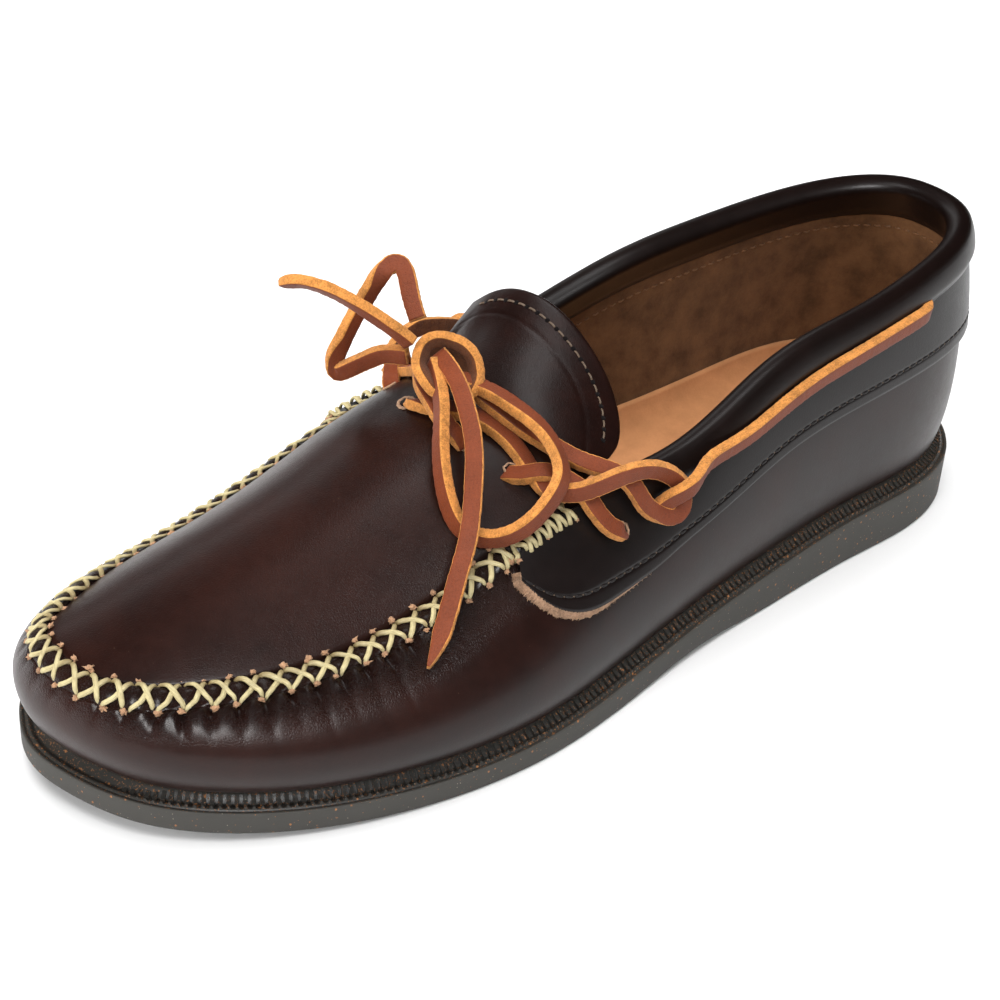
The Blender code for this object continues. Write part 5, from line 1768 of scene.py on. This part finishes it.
class MoccasinColours(bpy.types.PropertyGroup):
    """Colours of the leathers, thread, lace, sole and floor."""
    leather: colour_property("Leather", "Dark body of the pull-up leather", (0.0088, 0.0033, 0.0026))
    leather_warm: colour_property("Warm leather", "Leather where it is pulled light",
                                  (0.026, 0.0068, 0.0041))
    overlay: colour_property("Overlay", "Almost black quarter leather", (0.0062, 0.0042, 0.0040))
    overlay_warm: colour_property("Warm overlay", "Quarter leather where it is lighter",
                                  (0.012, 0.0068, 0.0060))
    collar: colour_property("Collar", "Rolled collar band", (0.0050, 0.0026, 0.0022))
    raw_edge: colour_property("Raw edge", "Cut edge of the overlay", (0.45, 0.275, 0.17))
    crumb: colour_property("Crumb", "Raw leather at the holes", (0.46, 0.26, 0.145))
    thread: colour_property("Thread", "Waxed thread", (0.49, 0.42, 0.225))
    thread_stain: colour_property("Thread stain", "Stained thread", (0.20, 0.145, 0.065))
    fine_thread: colour_property("Fine thread", "Thread of the tongue and lining", (0.18, 0.125, 0.085))
    lace_grain: colour_property("Lace grain", "Grain face of the lace", (0.185, 0.041, 0.014))
    lace_edge: colour_property("Lace edge", "Cut edge of the lace", (0.64, 0.26, 0.060))
    lace_flesh: colour_property("Lace flesh", "Flesh face of the lace", (0.13, 0.042, 0.014))
    sole: colour_property("Sole", "Rubber and cork of the sole", (0.057, 0.054, 0.048))
    fleck_warm: colour_property("Warm fleck", "Cork fleck", (0.42, 0.17, 0.055))
    fleck_pale: colour_property("Pale fleck", "Pale fleck", (0.42, 0.37, 0.28))
    lining: colour_property("Lining", "Suede lining", (0.17, 0.082, 0.036))
    sock: colour_property("Sock", "Leather sock", (0.54, 0.245, 0.105))
    floor: colour_property("Floor", "Studio floor", (0.76, 0.76, 0.76))


class MOCCASIN_OT_sole(bpy.types.Operator):
    """Ribbed sole with its fine tread"""
    bl_idname = "moccasin.sole"
    bl_label = "Sole"

    def execute(self, context):
        build_sole()
        return {"FINISHED"}


class MOCCASIN_OT_sock(bpy.types.Operator):
    """Leather sock inside the shoe"""
    bl_idname = "moccasin.sock"
    bl_label = "Sock"

    def execute(self, context):
        build_sock()
        return {"FINISHED"}


class MOCCASIN_OT_lining(bpy.types.Operator):
    """Suede lining with its stitch line"""
    bl_idname = "moccasin.lining"
    bl_label = "Lining"

    def execute(self, context):
        build_lining()
        return {"FINISHED"}


class MOCCASIN_OT_wrap(bpy.types.Operator):
    """Wrap leather with gathers and puffed seam ridge"""
    bl_idname = "moccasin.wrap"
    bl_label = "Wrap"

    def execute(self, context):
        build_wrap()
        return {"FINISHED"}


class MOCCASIN_OT_plug(bpy.types.Operator):
    """Plug and tongue in one skin, with rim stitches"""
    bl_idname = "moccasin.plug"
    bl_label = "Plug and tongue"

    def execute(self, context):
        build_plug()
        return {"FINISHED"}


class MOCCASIN_OT_seam(bpy.types.Operator):
    """Crossing waxed threads and the crumbs at their holes"""
    bl_idname = "moccasin.seam"
    bl_label = "Apron seam"

    def execute(self, context):
        build_seam()
        return {"FINISHED"}


class MOCCASIN_OT_overlay(bpy.types.Operator):
    """Overlay with raw edge and stitches"""
    bl_idname = "moccasin.overlay"
    bl_label = "Quarter overlay"

    def execute(self, context):
        build_overlay()
        return {"FINISHED"}


class MOCCASIN_OT_collar(bpy.types.Operator):
    """Rolled collar band"""
    bl_idname = "moccasin.collar"
    bl_label = "Collar"

    def execute(self, context):
        build_collar()
        return {"FINISHED"}


class MOCCASIN_OT_heel(bpy.types.Operator):
    """Hand-sewn seam at the back of the heel"""
    bl_idname = "moccasin.heel"
    bl_label = "Heel seam"

    def execute(self, context):
        build_heel_seam()
        return {"FINISHED"}


class MOCCASIN_OT_lace(bpy.types.Operator):
    """Rawhide lace with its knot, loops and ends"""
    bl_idname = "moccasin.lace"
    bl_label = "Lace"

    def execute(self, context):
        build_lace()
        return {"FINISHED"}


class MOCCASIN_OT_stage(bpy.types.Operator):
    """Floor, lights and camera"""
    bl_idname = "moccasin.stage"
    bl_label = "Stage"

    def execute(self, context):
        build_stage()
        return {"FINISHED"}


STEPS = [MOCCASIN_OT_sole, MOCCASIN_OT_sock, MOCCASIN_OT_lining, MOCCASIN_OT_wrap,
         MOCCASIN_OT_plug, MOCCASIN_OT_seam, MOCCASIN_OT_overlay, MOCCASIN_OT_collar,
         MOCCASIN_OT_heel, MOCCASIN_OT_lace, MOCCASIN_OT_stage]


class MOCCASIN_PT_steps(bpy.types.Panel):
    """Lists the steps that build the shoe."""
    bl_idname = "MOCCASIN_PT_steps"
    bl_label = "Canoe Moccasin"
    bl_space_type = "VIEW_3D"
    bl_region_type = "UI"
    bl_category = "Moccasin"

    def draw(self, context):
        for step in STEPS:
            self.layout.operator(step.bl_idname)
        for group in (context.scene.moccasin_shape, context.scene.moccasin_colours):
            for name in type(group).__annotations__:
                self.layout.prop(group, name)


CLASSES = [MoccasinShape, MoccasinColours, *STEPS, MOCCASIN_PT_steps]


def register():
    """Adds the sizes, the colours, the steps and their panel."""
    for made in CLASSES:
        bpy.utils.register_class(made)
    bpy.types.Scene.moccasin_shape = bpy.props.PointerProperty(type=MoccasinShape)
    bpy.types.Scene.moccasin_colours = bpy.props.PointerProperty(type=MoccasinColours)


def unregister():
    """Takes away what register adds."""
    del bpy.types.Scene.moccasin_colours
    del bpy.types.Scene.moccasin_shape
    for made in reversed(CLASSES):
        bpy.utils.unregister_class(made)


def main():
    """Registers the add-on, then builds the shoe and its stage."""
    register()
    for step in STEPS:
        getattr(bpy.ops.moccasin, step.bl_idname.split(".")[1])()


if __name__ == "__main__":
    main()
